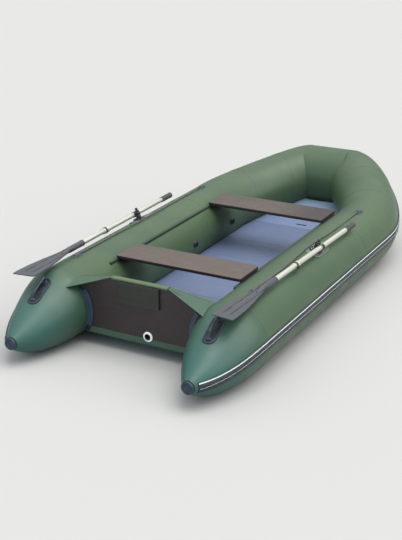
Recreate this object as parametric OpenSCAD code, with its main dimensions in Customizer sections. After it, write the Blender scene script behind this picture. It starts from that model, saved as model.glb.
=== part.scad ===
// Inflatable boat with a wooden transom, a boarded floor, two sliding bench seats and a pair of oars.
// +Y points to the bow, +X to starboard, +Z up. The origin is under the middle of the boat's box.
// Inside the modules y is counted from the aft face of the transom board, and placed() moves it.

/* [Tubes] */
// Diameter of the side tubes
tube_d = 410; // [380:1:450]
// Distance between the centrelines of the side tubes
tube_spacing = 1082; // [1040:1:1160]
// Thickness of the coated fabric
skin_t = 1; // [0.8:0.1:1.6]
// Length of the straight side, from the transom to the start of the bow curve
side_l = 1873; // [1850:1:2200]
// Distance from the start of the bow curve to the tube across the bow
bow_reach = 751; // [650:1:900]
// Straight width of the tube across the bow
bow_flat = 308; // [240:1:400]
// Height that the tube gains on its way to the bow
bow_rise = 129; // [60:1:180]
// Distance behind the start of the bow curve where the tube starts to rise
rise_lead = 148; // [100:1:200]
// Where the bulkheads part the side chambers from the bow chamber
bulkhead_y = 1470; // [1400:1:1600]
// Length of the tail cones behind the transom
tail_l = 440; // [360:1:520]
// Radius of a tail cone at its end
tail_r = 33; // [28:1:40]
// Height of the centre of a tail cone at its end
tail_z = 140; // [110:1:180]
// Thickness of a tail cap's flange
cap_t = 12; // [8:1:20]

/* [Bottom and floor] */
// Height of the bottom fabric over the lowest point
bottom_z = 82; // [60:1:100]
// Thickness of a floor board
board_t = 10; // [8:0.5:14]
// Length of one floor board
board_l = 333; // [300:1:340]
// Gap between two floor boards
board_gap = 2; // [1:0.5:4]
// Length of the foremost board
bow_board_l = 270; // [200:1:290]
// Width of the finger slot in the foremost board
slot_l = 80; // [60:1:110]

/* [Transom] */
// Thickness of the transom board
transom_t = 27; // [20:1:36]
// Height of the transom's top edge
transom_h = 432; // [420:1:470]
// Width of the level part of the top edge
transom_top_w = 356; // [300:1:420]
// Fall of the top edge's slanted ends for each millimetre outwards
transom_fall = 0.309; // [0.28:0.001:0.34]
// Width of the motor pad
pad_w = 250; // [200:1:280]
// Height of the motor pad
pad_h = 122; // [100:1:160]
// Sideways place of the drain valve
drain_x = 46; // [-200:1:200]
// Height of the drain valve
drain_z = 127; // [125:1:150]
// Radius of the drain valve's flange
drain_flange_r = 29; // [26:0.5:30]
// Radius of the drain valve's passage
drain_bore_r = 14; // [10:0.5:15]

/* [Seats] */
// Length of a seat board, across the boat
seat_l = 808; // [780:1:815]
// Width of a seat board, along the boat
seat_w = 231; // [200:1:260]
// Thickness of a seat board
seat_t = 20; // [15:1:25]
// How far the seat rails stand above the tubes' skin at their middle
rail_rise = 7.5; // [5:0.5:15]
// Aft edge of the aft seat
aft_seat_y = 395; // [360:1:500]
// Aft edge of the forward seat
forward_seat_y = 1516; // [1450:1:1530]

/* [Oarlocks and oars] */
// Where the oarlocks stand along the boat
lock_y = 970; // [850:1:1100]
// Lean of an oarlock to the outside, square to the tube
lock_lean = 17; // [15:0.5:20]
// Radius of the post on which an oar swings
post_r = 6; // [5:0.5:7]
// Plastic between an oarlock's post and the oar's shaft
oar_web = 5.5; // [4:0.5:15]
// Radius of an oar's shaft
shaft_r = 14.5; // [13:0.5:15.5]
// Angle of an oar to the boat's length
oar_toe = 1.4; // [0:0.1:2]
// Fall of an oar towards its grip
oar_pitch = 0.5; // [0:0.1:1]
// Length of an oar in front of the oarlock
oar_fore = 470; // [400:1:490]
// Length of an oar behind the oarlock
oar_aft = 1188; // [1100:1:1220]
// Length of an oar's blade
blade_l = 592; // [500:1:650]
// Width of a blade at its end
blade_w = 130; // [110:1:150]
// Length of a grip
grip_l = 125; // [100:1:140]

/* [Ropes] */
// Diameter of the grab ropes
rope_d = 9; // [8:0.5:10]

/* [Hidden] */
$fn = 64;

tube_r = tube_d / 2;
half_w = tube_spacing / 2;
bow_y = side_l + bow_reach;
rise_y = side_l - rise_lead;
seat_gap = 0.3;
run_gap = 0.05;
strake_t = 8;
sides = 36;
side_step = 360 / sides;
middle_y = (bow_y + tube_r + strake_t + seat_gap - tail_l - cap_t) / 2;
foot_lift = tube_r * (1 - cos(side_step / 2));

// Centreline of the tubes and what follows it
bow_handle = 304;
bow_handle_x = 79;
bow_steps = 12;
p0 = [half_w, side_l];
p1 = [half_w, side_l + bow_handle];
p2 = [bow_flat / 2 + bow_handle_x, bow_y];
p3 = [bow_flat / 2, bow_y];
function curve(t) = p0 * pow(1 - t, 3) + p1 * 3 * t * pow(1 - t, 2) + p2 * 3 * t * t * (1 - t) + p3 * pow(t, 3);
function slope(t) = (p1 - p0) * pow(1 - t, 2) + (p2 - p1) * 2 * t * (1 - t) + (p3 - p2) * t * t;
function rise(y) = bow_rise * pow(max(0, (y - rise_y) / (bow_y - rise_y)), 2.1);
function heading(t) = atan2(-slope(t).x, slope(t).y);

// A station is [x, y, z, radius, heading], and the heading turns from +Y towards port
function bow_station(t) = [curve(t).x, curve(t).y, tube_r + rise(curve(t).y), tube_r, heading(t)];
function side_station(y) = [half_w, y, tube_r + rise(y), tube_r, 0];
function to_port(s) = [-s[0], s[1], s[2], s[3], 180 - s[4]];
function tail_top(t) = tube_d - (tube_d - tail_z - tail_r) * pow(t, 1.3);
function tail_low(t) = (tail_z - tail_r) * pow(t, 3);
function tail_station(t) =
    [half_w, -tail_l * t, (tail_top(t) + tail_low(t)) / 2, (tail_top(t) - tail_low(t)) / 2, 0];
tail_stations = [for (t = [1, 0.93, 0.82, 0.7, 0.55, 0.4, 0.25, 0.12]) tail_station(t)];
side_stations = concat(tail_stations, [side_station(0), side_station(bulkhead_y)]);
starboard_bow = concat(
    [for (y = [bulkhead_y, rise_y, (rise_y + side_l) / 2]) side_station(y)],
    [for (i = [0 : bow_steps]) bow_station(i / bow_steps)]
);
port_bow = [for (i = [len(starboard_bow) - 1 : -1 : 0]) to_port(starboard_bow[i])];
bow_stations = concat(starboard_bow, port_bow);

// The point of a station at an angle from the top, outwards, and at a distance from the centreline
function at(s, angle, r) = [
    s[0] + r * sin(angle) * cos(s[4]),
    s[1] + r * sin(angle) * sin(s[4]),
    s[2] + r * cos(angle)
];
function ring(s, grow) = [for (i = [0 : sides - 1]) at(s, side_step * (i + 0.5), s[3] + grow)];

// Where the bottom fabric meets the tubes
bottom_drop = tube_r - bottom_z;
bottom_in = sqrt(pow(tube_r + seat_gap * 2, 2) - pow(bottom_drop, 2));
function foot(s) =
    [s[0] - bottom_in * cos(s[4]), s[1] - bottom_in * sin(s[4]), s[2] - bottom_drop];
all_feet = [for (s = concat([side_station(seat_gap)], starboard_bow)) foot(s)];
side_feet = [for (i = [0 : len(all_feet) - 1]) if (i == 0 || all_feet[i].y > all_feet[i - 1].y) all_feet[i]];
foot_x = [for (f = side_feet) [f.y, f.x]];
foot_z = [for (f = side_feet) [f.y, f.z]];
// The last row runs along the bow's inner side, short of where the two curves cross
end_y = bow_y - bottom_in;
end_foot = [lookup(end_y, foot_x), end_y, lookup(end_y, foot_z)];
feet = concat([for (f = side_feet) if (f.y < end_y - 5) f], [end_foot]);
board_inset = 8;
boards_y = transom_t + 15;

// Rubbing strake
strake_from = 75;
strake_to = 95;

// Transom
holder_t = 6;
holder_r = tube_r + seat_gap + holder_t;
cheek_r = holder_r + 25;
cheek_t = 8;
transom_foot = bottom_z + seat_gap * 2;
tape_t = 2;
tape_h = 34;
trim_t = 4;
trim_drop = 8;
pad_t = 13;
plate_t = 3;
drain_hub_r = drain_bore_r + 5;
drain_flange_t = 5;
plug_t = 8;

// Seat rails
rail_angle = 41.5;
rail_x = half_w - tube_r * sin(rail_angle);
rail_w = 20;
rail_top = tube_r * (1 + cos(rail_angle)) + rail_rise;
clip_pad_t = 4;
seat_h = rail_top + clip_pad_t + seat_t;
rail_from = 330;
rail_to = rise_y + 40;
clip_t = 8;
clip_drop = 15;

// Oarlocks: r is counted from the tube's centreline, along the lean
pad_skin_t = 4;
lock_pad_l = 210;
lock_pad_w = 100;
lock_base_r = 38;
lock_base_top = tube_r + 7.5;
tilt_pin_r = 2.5;
barrel_r = 5.5;
tilt_r = lock_base_top + barrel_r + 0.5;
lug_r = 6;
lug_in = 15;
lug_t = 6.5;
boss_r = post_r + 6;
boss_top = tube_r + 52;
boss_low = tilt_r + barrel_r + seat_gap;
oar_ring_r = shaft_r + 3;
oar_ring_l = 26;
// The shaft's place in the oarlock: beside the post, and above the lugs that it swings over
oar_side = post_r + oar_web + shaft_r;
oar_lift = lug_r + oar_ring_r + 1.2;
oar_out = oar_side * cos(lock_lean) + (tilt_r + oar_lift) * sin(lock_lean);
oar_up = (tilt_r + oar_lift) * cos(lock_lean) - oar_side * sin(lock_lean);
knob_r = post_r + 3;
knob_low = boss_top + seat_gap;
knob_mid = knob_low + knob_r + 8;
post_top = knob_mid - 4;

// Oars, counted along the shaft from the oarlock, positive to the grip
shaft_wall = 1.5;
joint_y = -345;
collar_l = 60;
collar_r = shaft_r + 4;
button_r = 5;
button_out = 3;
socket_y = oar_aft - blade_l;
socket_r = shaft_r + 3.5;
socket_l = 150;
blade_t = 6;
rib_w = 5;
rib_h = 9;
grip_r = shaft_r + 3;

// The starboard rope's route from patch to patch: outboard of and above the tube's centreline
rope_route = [
    [25, 262, 213], [25, 420, 209], [25, 640, 208.5], [17, 860, 213.5],
    [17, 1080, 213.5], [27, 1290, 208.5], [29, 1560, 209], [30, 1708, 213]
];
rope_points = [for (p = rope_route) [half_w + p.x, p.y, tube_r + p.z]];
rope_steps = 5;
patch_l = 84;
patch_w = 44;
patch_t = 4;
hump_w = 26;
hump_l = 24;
aft_patch_y = 238;
forward_patch_y = 1732;
aft_patch_angle = asin(rope_route[0].x / tube_r);
forward_patch_angle = asin(rope_route[len(rope_route) - 1].x / tube_r);

// Valves in the tubes' inner sides
side_valve_y = 1217;
bow_valve_y = 1729;
valve_face = tube_r * cos(side_step / 2) + seat_gap;
valve_flange_r = 27;
valve_sleeve_r = 17.5;
valve_bore_r = 12;
valve_cap_r = 20;

// Carry handles on the tail cones
carry_mid_t = 0.378;
carry_l = 190;
carry_w = 76;
// The cone's slope under the handle's middle
carry_lean = atan((tube_d - tail_z - tail_r) * 1.3 * pow(carry_mid_t, 0.3) / tail_l);
carry_bar_r = 9;
carry_bar_h = 36;
carry_bar_l = 124;

// Tow ring under the bow
tow_angle = 120;
tow_patch_r = 38;
tow_patch_t = 5;
tow_bar_r = 4;
tow_ring_r = 24;
tow_lug_r = 9;
tow_lug_h = 15;

module placed() {
    translate([0, -middle_y, -foot_lift]) children();
}

module both_sides() {
    children();
    mirror([1, 0, 0]) children();
}

// A closed solid through rings of points, each ring clockwise as seen along the way
module loft(rings) {
    n = len(rings[0]);
    last = len(rings) - 1;
    function id(i, j) = i * n + j % n;
    walls = [for (i = [0 : last - 1], j = [0 : n - 1], half = [0, 1])
        half == 0 ? [id(i, j), id(i + 1, j), id(i + 1, j + 1)]
                  : [id(i, j), id(i + 1, j + 1), id(i, j + 1)]];
    start = [[for (j = [0 : n - 1]) j]];
    end = [[for (j = [n - 1 : -1 : 0]) id(last, j)]];
    polyhedron([for (r = rings) each r], concat(start, walls, end), convexity = 6);
}

// A cylinder from [x, y, z] along +Y
module rod(r, length) {
    rotate([-90, 0, 0]) cylinder(r = r, h = length);
}

// A cylinder along +X
module cross_rod(r, length) {
    rotate([0, 90, 0]) cylinder(r = r, h = length);
}

// A plate with round ends, lying in XY
module stadium(length, width, height) {
    for (end = [-1, 1])
        translate([0, end * (length - width) / 2, 0]) cylinder(r = width / 2, h = height);
    translate([-width / 2, -(length - width) / 2, 0]) cube([width, length - width, height]);
}

// A flat outline in XZ, made solid from y to y + depth
module slab(y, depth) {
    translate([0, y + depth, 0]) rotate([90, 0, 0]) linear_extrude(depth) children();
}

// Moves +Z to point square out of the starboard tube, at an angle from its top
module on_tube(angle, y) {
    translate([half_w, y, tube_r]) rotate([0, angle, 0]) children();
}

// ---- Tubes ----

// A tube open at both ends, through stations, with an inner wall
module tube_shell(stations) {
    outer = [for (s = stations) ring(s, 0)];
    inner = [for (s = stations) ring(s, -skin_t)];
    last = len(stations) - 1;
    past = len(stations) * sides;
    function id(i, j) = i * sides + j % sides;
    walls = [for (i = [0 : last - 1], j = [0 : sides - 1], face = [0 : 3])
        face == 0 ? [id(i, j), id(i + 1, j), id(i + 1, j + 1)] :
        face == 1 ? [id(i, j), id(i + 1, j + 1), id(i, j + 1)] :
        face == 2 ? [past + id(i, j), past + id(i + 1, j + 1), past + id(i + 1, j)] :
                    [past + id(i, j), past + id(i, j + 1), past + id(i + 1, j + 1)]];
    rims = [for (j = [0 : sides - 1], face = [0 : 3])
        face == 0 ? [id(0, j), id(0, j + 1), past + id(0, j + 1)] :
        face == 1 ? [id(0, j), past + id(0, j + 1), past + id(0, j)] :
        face == 2 ? [id(last, j), past + id(last, j + 1), id(last, j + 1)] :
                    [id(last, j), past + id(last, j), past + id(last, j + 1)]];
    polyhedron([for (r = concat(outer, inner)) each r], concat(walls, rims), convexity = 8);
}

module valve_hole(y) {
    translate([half_w - tube_r - 5, y, tube_r]) cross_rod(valve_sleeve_r + seat_gap, 15);
}

module side_tube() {
    difference() {
        tube_shell(side_stations);
        valve_hole(side_valve_y);
    }
}

module port_tube() {
    color("#4f7a5f") placed() mirror([1, 0, 0]) side_tube();
}

module starboard_tube() {
    color("#4f7a5f") placed() side_tube();
}

module bow_tube() {
    color("#4f7a5f") placed() difference() {
        tube_shell(bow_stations);
        mirror([1, 0, 0]) valve_hole(bow_valve_y);
    }
}

module bulkheads() {
    disc_r = (tube_r - skin_t) * cos(side_step / 2) - seat_gap;
    color("#3c6350") placed() both_sides()
        translate([half_w, bulkhead_y - skin_t, tube_r]) rod(disc_r, 2 * skin_t);
}

module tail_caps() {
    spigot_r = tail_r - skin_t - 1;
    color("#23292f") placed() both_sides() translate([half_w, -tail_l, tail_z]) {
        translate([0, -cap_t, 0]) rotate([-90, 0, 0]) rotate_extrude()
            polygon([[0, 0], [tail_r - 6, 0], [tail_r + 2, 4], [tail_r + 3, 8], [tail_r + 3, cap_t], [0, cap_t]]);
        rod(spigot_r, 20);
    }
}

// ---- Bottom and floor ----

// A row across the boat at y: its half width is less by inset, and it lies lift above the fabric
function row(y, inset, lift, t) =
    let (x = lookup(y, foot_x) - inset, z = lookup(y, foot_z) + lift)
    [[-x, y, z + t], [x, y, z + t], [x, y, z], [-x, y, z]];

module bottom_skin() {
    rows = [for (f = feet)
        [[-f.x, f.y, f.z], [f.x, f.y, f.z], [f.x, f.y, f.z - skin_t], [-f.x, f.y, f.z - skin_t]]];
    color("#2f4f40") placed() loft(rows);
}

module board(y, length) {
    steps = 3;
    placed() loft([for (i = [0 : steps]) row(y + length * i / steps, board_inset, seat_gap, board_t)]);
}

module floor_board(i) {
    color("#7787a0") board(boards_y + (i - 1) * (board_l + board_gap), board_l);
}

module floor_board_1() floor_board(1);
module floor_board_2() floor_board(2);
module floor_board_3() floor_board(3);
module floor_board_4() floor_board(4);
module floor_board_5() floor_board(5);
module floor_board_6() floor_board(6);

bow_board_y = boards_y + 6 * (board_l + board_gap);
slot_x = 15;
slot_w = 16;
slot_y = bow_board_y + 45;

module bow_floor_board() {
    color("#8a97a8") difference() {
        board(bow_board_y, bow_board_l);
        placed() translate([slot_x, slot_y, bottom_z]) rotate([0, 0, 90]) stadium(slot_l, slot_w, 150);
    }
}

// ---- Transom ----

module tube_outline(r) {
    translate([half_w, tube_r]) circle(r = r, $fn = 128);
}

module transom_outline() {
    far = half_w;
    low_x = half_w - bottom_in;
    end_z = transom_h - (far - transom_top_w / 2) * transom_fall;
    difference() {
        polygon([
            [-low_x, transom_foot], [low_x, transom_foot], [far, transom_foot], [far, end_z],
            [transom_top_w / 2, transom_h], [-transom_top_w / 2, transom_h], [-far, end_z],
            [-far, transom_foot]
        ]);
        both_sides() tube_outline(holder_r + seat_gap);
    }
}

module transom_board() {
    color("#3a2e2e") placed() difference() {
        slab(0, transom_t) transom_outline();
        translate([drain_x, -1, drain_z]) rod(drain_hub_r + seat_gap, transom_t + 2);
    }
}

module motor_pad() {
    color("#332b2b") placed()
        translate([-pad_w / 2, -pad_t - seat_gap, transom_h - trim_drop - 3 - pad_h])
            cube([pad_w, pad_t, pad_h]);
}

module motor_plate() {
    plate_w = pad_w - 60;
    plate_h = pad_h - 10;
    color("#2c2c2e") placed()
        translate([-plate_w / 2, transom_t + seat_gap, transom_h - trim_drop - 3 - plate_h])
            cube([plate_w, plate_t, plate_h]);
}

module sector(r1, r2, from, to) {
    far = r2 * 3;
    mid = (from + to) / 2;
    difference() {
        intersection() {
            circle(r = r2, $fn = 128);
            polygon([[0, 0], for (a = [from, mid, to]) [far * sin(a), far * cos(a)]]);
        }
        circle(r = r1, $fn = 128);
    }
}

module transom_holders() {
    color("#2b3844") placed() both_sides() {
        slab(-20, transom_t + 40) translate([half_w, tube_r])
            sector(tube_r + seat_gap, holder_r, -118, -52);
        for (y = [-cheek_t - seat_gap, transom_t + seat_gap])
            slab(y, cheek_t) translate([half_w, tube_r]) sector(holder_r - 1, cheek_r, -112, -56);
    }
}

module transom_tape() {
    color("#35594a") placed() slab(-tape_t - seat_gap, tape_t) difference() {
        translate([-half_w, bottom_z]) square([2 * half_w, tape_h]);
        both_sides() tube_outline(cheek_r + seat_gap);
        translate([drain_x, drain_z]) circle(r = drain_flange_r + seat_gap);
    }
}

module transom_trim() {
    w = transom_top_w - 6;
    outer_y = transom_t + 2 * (trim_t + seat_gap);
    color("#8fa791") placed() translate([-w / 2, 0, transom_h]) difference() {
        translate([0, -trim_t - seat_gap, -trim_drop]) cube([w, outer_y, trim_drop + seat_gap + trim_t]);
        translate([-1, -seat_gap, -trim_drop - 1])
            cube([w + 2, transom_t + 2 * seat_gap, trim_drop + 1 + seat_gap]);
    }
}

// A tight triangle of fabric from the end of the top edge down to the tube, over the board's end
gusset_t = 1.6;
gusset_aft = 72;
gusset_fore = 70;

module gussets() {
    aft = tail_station(gusset_aft / tail_l);
    a = [transom_top_w / 2 + 2, transom_t / 2, transom_h + 3];
    c = at(aft, -35.5, aft[3] + 3);
    bend = at(side_station(0), -35.5, tube_r + 2.5);
    d = at(side_station(gusset_fore), -35, tube_r + 2);
    down = [0, 0, -gusset_t];
    color("#567f63") placed() both_sides() loft([[a, d, bend, c], [a + down, d + down, bend + down, c + down]]);
}

module drain_valve() {
    inner_flange_y = transom_t + seat_gap;
    color("#d8dde0") placed() translate([drain_x, 0, drain_z]) difference() {
        union() {
            translate([0, -drain_flange_t - seat_gap, 0]) rod(drain_flange_r, drain_flange_t);
            translate([0, -seat_gap - 1, 0]) rod(drain_hub_r, transom_t + 2 + 2 * seat_gap);
            translate([0, inner_flange_y, 0]) rod(drain_flange_r, drain_flange_t);
        }
        translate([0, -20, 0]) rod(drain_bore_r, transom_t + 40);
    }
}

module drain_plug() {
    color("#1f2326") placed() translate([drain_x, transom_t, drain_z]) {
        translate([0, -8, 0]) rod(drain_bore_r - run_gap, 8 + drain_flange_t + 2 * seat_gap + 1);
        translate([0, drain_flange_t + 2 * seat_gap, 0]) rod(drain_bore_r + 6, plug_t);
        translate([-3, drain_flange_t + plug_t, -drain_bore_r]) cube([6, 10, 2 * drain_bore_r]);
    }
}

// ---- Rubbing strakes ----

function strake_ring(s) =
    let (low = s[3] + seat_gap, high = low + strake_t, tuck = strake_t / s[3] * 30)
    let (grow = tube_r / s[3], mid = (strake_from + strake_to) / 2)
    let (from = mid - side_step, to = mid + side_step) [
        at(s, from + tuck / 2, low + strake_t * 0.6), at(s, from + tuck, high),
        at(s, mid, high + (1 - 1 / grow)), at(s, to - tuck, high),
        at(s, to - tuck / 2, low + strake_t * 0.6), at(s, to, low), at(s, mid, low), at(s, from, low)
    ];

strake_end = 1;
side_strake_stations = [for (i = [strake_end : len(side_stations) - 1]) side_stations[i]];

module side_strakes() {
    color("#27364a") placed() both_sides() loft([for (s = side_strake_stations) strake_ring(s)]);
}

module bow_strake() {
    color("#27364a") placed() loft([for (s = bow_stations) strake_ring(s)]);
}

// ---- Carry handles ----

function carry_pad_ring(t, share) =
    let (s = tail_station(t), half = carry_w / 2 * sqrt(max(0.04, 1 - share * share)) / s[3] * 180 / PI)
    let (low = s[3] + seat_gap * 2, high = low + pad_skin_t)
    [for (a = [-1, -0.5, 0, 0.5, 1]) at(s, a * half, high)];

function carry_pad_low(t, share) =
    let (s = tail_station(t), half = carry_w / 2 * sqrt(max(0.04, 1 - share * share)) / s[3] * 180 / PI)
    [for (a = [1, 0.5, 0, -0.5, -1]) at(s, a * half, s[3] + seat_gap * 2)];

module carry_pads() {
    half_t = carry_l / 2 * cos(carry_lean) / tail_l;
    color("#2b3440") placed() both_sides() loft([for (share = [1, 0.85, 0.6, 0.3, 0, -0.3, -0.6, -0.85, -1])
        let (t = carry_mid_t + share * half_t) concat(carry_pad_ring(t, share), carry_pad_low(t, share))]);
}

// Local +Y runs up the cone and +Z square out of it
module on_cone() {
    translate([half_w, -carry_mid_t * tail_l, tail_top(carry_mid_t)]) rotate([carry_lean, 0, 0]) children();
}

module carry_handles() {
    color("#1f2a38") placed() both_sides() on_cone() {
        foot_z_up = pad_skin_t - 0.5;
        translate([0, -carry_bar_l / 2, carry_bar_h]) rod(carry_bar_r, carry_bar_l);
        for (end = [-1, 1])
            translate([0, end * carry_bar_l / 2, 0]) {
                translate([0, 0, carry_bar_h]) sphere(r = carry_bar_r);
                translate([0, 0, foot_z_up]) cylinder(r = carry_bar_r, h = carry_bar_h - foot_z_up);
            }
    }
}

// ---- Seats ----

module rail_outline() {
    difference() {
        translate([rail_x - rail_w / 2, rail_top - 40]) square([rail_w, 40]);
        tube_outline(tube_r + seat_gap);
    }
}

module seat_rails() {
    color("#26473a") placed() both_sides() slab(rail_from, rail_to - rail_from) rail_outline();
}

module seat(y) {
    placed() translate([-seat_l / 2, y, seat_h - seat_t]) cube([seat_l, seat_w, seat_t]);
}

module seat_clips(y) {
    inner_x = rail_x - rail_w / 2 - seat_gap - clip_t;
    pad_low = rail_top + seat_gap;
    pad_high = seat_h - seat_t - seat_gap;
    color("#25282b") placed() both_sides() translate([inner_x, y + 30, 0]) {
        translate([0, 0, pad_low]) cube([clip_t + rail_w * 0.8, seat_w - 60, pad_high - pad_low]);
        translate([0, 0, rail_top - clip_drop]) cube([clip_t, seat_w - 60, pad_high - rail_top + clip_drop]);
    }
}

module aft_seat() {
    color("#83736f") seat(aft_seat_y);
}

module aft_seat_clips() seat_clips(aft_seat_y);

module forward_seat() {
    color("#83736f") seat(forward_seat_y);
}

module forward_seat_clips() seat_clips(forward_seat_y);

// ---- Oarlocks ----

module tube_skin_pad(r1, r2, length) {
    rotate([90, 0, 0]) translate([0, 0, -length / 2]) linear_extrude(length) difference() {
        circle(r = r2, $fn = 128);
        circle(r = r1, $fn = 128);
    }
}

module oarlock_pads() {
    color("#4c5154") placed() both_sides() on_tube(lock_lean, lock_y + 25) intersection() {
        tube_skin_pad(tube_r + seat_gap, tube_r + seat_gap + pad_skin_t, lock_pad_l + 10);
        translate([0, 0, tube_r - 40]) stadium(lock_pad_l, lock_pad_w, 80);
    }
}

module oarlock_bases() {
    seat_r = tube_r + 2 * seat_gap + pad_skin_t;
    color("#25282b") placed() both_sides() on_tube(lock_lean, lock_y) {
        difference() {
            translate([0, 0, tube_r - 10]) cylinder(r = lock_base_r, h = lock_base_top - tube_r + 10);
            translate([0, -50, 0]) rod(seat_r, 100, $fn = 128);
        }
        difference() {
            for (y = [-lug_in - lug_t, lug_in]) {
                translate([0, y, tilt_r]) rod(lug_r, lug_t);
                translate([-lug_r, y, lock_base_top - 2]) cube([2 * lug_r, lug_t, tilt_r - lock_base_top + 2]);
            }
            translate([0, -40, tilt_r]) rod(tilt_pin_r + run_gap, 80);
        }
    }
}

module yoke() {
    color("#303437") placed() on_tube(lock_lean, lock_y) {
        translate([0, -lug_in + seat_gap, tilt_r]) rod(barrel_r, 2 * (lug_in - seat_gap));
        translate([0, -lug_in - lug_t, tilt_r]) rod(tilt_pin_r, 2 * (lug_in + lug_t));
        translate([0, 0, tilt_r]) cylinder(r = post_r, h = post_top - tilt_r);
    }
}

module port_yoke() mirror([1, 0, 0]) yoke();
module starboard_yoke() yoke();

module knob() {
    color("#1d2022") placed() on_tube(lock_lean, lock_y) difference() {
        union() {
            translate([0, 0, knob_low]) cylinder(r = knob_r - 0.5, h = knob_mid - knob_low);
            translate([0, 0, knob_mid]) sphere(r = knob_r);
        }
        translate([0, 0, knob_low - 1]) cylinder(r = post_r + run_gap, h = post_top - knob_low + 1 + seat_gap);
    }
}

module port_knob() mirror([1, 0, 0]) knob();
module starboard_knob() knob();

// ---- Oars ----

// Moves the oar's own frame, with +Y to the grip and z = 0 on the shaft's axis, to its oarlock
module on_oar() {
    placed() translate([half_w + oar_out, lock_y, tube_r + oar_up]) rotate([-oar_pitch, 0, -oar_toe]) children();
}

module oar_ring() {
    color("#1d2022") difference() {
        union() {
            on_oar() translate([0, -oar_ring_l / 2, 0]) rod(oar_ring_r, oar_ring_l);
            placed() on_tube(lock_lean, lock_y) translate([0, 0, boss_low])
                cylinder(r = boss_r, h = boss_top - boss_low);
        }
        on_oar() translate([0, -50, 0]) rod(shaft_r, 100);
        placed() on_tube(lock_lean, lock_y) translate([0, 0, tilt_r]) cylinder(r = post_r + run_gap, h = 100);
    }
}

module blade_outline() {
    half = blade_w / 2;
    neck = shaft_r + 2;
    mouth = -socket_y;
    tip = -oar_aft;
    polygon([
        [-neck, mouth], [neck, mouth], [neck + 3, mouth - blade_l * 0.25], [half * 0.72, mouth - blade_l * 0.55],
        [half, mouth - blade_l * 0.93], [half * 0.95, tip + 5], [half * 0.9, tip], [-half * 0.85, tip + 10],
        [-half * 0.95, tip + 15], [-half, mouth - blade_l * 0.9], [-half * 0.72, mouth - blade_l * 0.55],
        [-neck - 3, mouth - blade_l * 0.25]
    ]);
}

module blade() {
    color("#5c5f66") on_oar() difference() {
        union() {
            translate([0, 0, -blade_t / 2]) linear_extrude(blade_t) blade_outline();
            translate([0, -socket_y - socket_l, 0]) rod(socket_r, socket_l);
            for (side = [-1, 1])
                translate([side * 20 - rib_w / 2, -oar_aft + 60, -rib_h / 2])
                    cube([rib_w, blade_l - 190, rib_h]);
        }
        translate([0, -socket_y - socket_l + 12, 0]) rod(shaft_r, socket_l);
    }
}

module hollow_rod(r, wall, from, to) {
    difference() {
        translate([0, from, 0]) rod(r, to - from);
        translate([0, from - 1, 0]) rod(r - wall, to - from + 2);
    }
}

module button_hole() {
    translate([0, joint_y + collar_l / 4, 0]) cross_rod(button_r + run_gap, 40);
}

module lower_shaft() {
    color("#d9dcdc") on_oar() hollow_rod(shaft_r, shaft_wall, -socket_y - socket_l + 12, joint_y - seat_gap);
}

module upper_shaft() {
    color("#d9dcdc") on_oar() difference() {
        hollow_rod(shaft_r, shaft_wall, joint_y, oar_fore - 5);
        button_hole();
    }
}

module collar() {
    color("#1f2224") on_oar() difference() {
        translate([0, joint_y - collar_l / 2, 0]) rod(collar_r, collar_l);
        translate([0, joint_y - collar_l / 2 - 1, 0]) rod(shaft_r, collar_l + 2);
        button_hole();
    }
}

module button() {
    stem = shaft_r - shaft_wall - 4;
    color("#b8bcbe") on_oar() translate([stem, joint_y + collar_l / 4, 0])
        cross_rod(button_r, collar_r + button_out - stem);
}

module grip() {
    color("#2a2c2e") on_oar() difference() {
        translate([0, oar_fore - grip_l, 0]) rod(grip_r, grip_l);
        translate([0, oar_fore - grip_l - 1, 0]) rod(shaft_r, grip_l - 4);
    }
}

module port_oar_ring() mirror([1, 0, 0]) oar_ring();
module port_blade() mirror([1, 0, 0]) blade();
module port_lower_shaft() mirror([1, 0, 0]) lower_shaft();
module port_collar() mirror([1, 0, 0]) collar();
module port_button() mirror([1, 0, 0]) button();
module port_upper_shaft() mirror([1, 0, 0]) upper_shaft();
module port_grip() mirror([1, 0, 0]) grip();
module starboard_oar_ring() oar_ring();
module starboard_blade() blade();
module starboard_lower_shaft() lower_shaft();
module starboard_collar() collar();
module starboard_button() button();
module starboard_upper_shaft() upper_shaft();
module starboard_grip() grip();

// ---- Grab ropes ----

// A smooth way through the points, as a Catmull-Rom spline
function spline(p, i, t) =
    let (a = p[max(0, i - 1)], b = p[i], c = p[i + 1], d = p[min(len(p) - 1, i + 2)])
    0.5 * (2 * b + (c - a) * t + (2 * a - 5 * b + 4 * c - d) * t * t + (3 * b - a - 3 * c + d) * pow(t, 3));

function rope_ring(p) = [for (k = [0 : 7]) p + rope_d / 2 * [sin(45 * k), 0, cos(45 * k)]];

module rope() {
    way = [
        for (i = [0 : len(rope_points) - 2], k = [0 : rope_steps - 1]) spline(rope_points, i, k / rope_steps),
        rope_points[len(rope_points) - 1]
    ];
    color("#1c1f20") placed() loft([for (p = way) rope_ring(p)]);
}

module port_rope() mirror([1, 0, 0]) rope();
module starboard_rope() rope();

module rope_patch(angle, y, hump_y) {
    hump_top = tube_r + 18;
    on_tube(angle, y) {
        intersection() {
            tube_skin_pad(tube_r + seat_gap, tube_r + seat_gap + patch_t, patch_l + 10);
            translate([0, 0, tube_r - 30]) stadium(patch_l, patch_w, 60);
        }
        difference() {
            translate([-hump_w / 2, hump_y, tube_r]) cube([hump_w, hump_l, hump_top - tube_r]);
            translate([0, -60, 0]) rod(tube_r + seat_gap + 1, 120, $fn = 128);
        }
    }
}

module rope_patches() {
    first = rope_points[0];
    last = rope_points[len(rope_points) - 1];
    color("#54585a") placed() both_sides() {
        rope_patch(aft_patch_angle, aft_patch_y, first.y - aft_patch_y - hump_l);
        rope_patch(forward_patch_angle, forward_patch_y, last.y - forward_patch_y);
    }
}

// ---- Inflation valves ----

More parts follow.
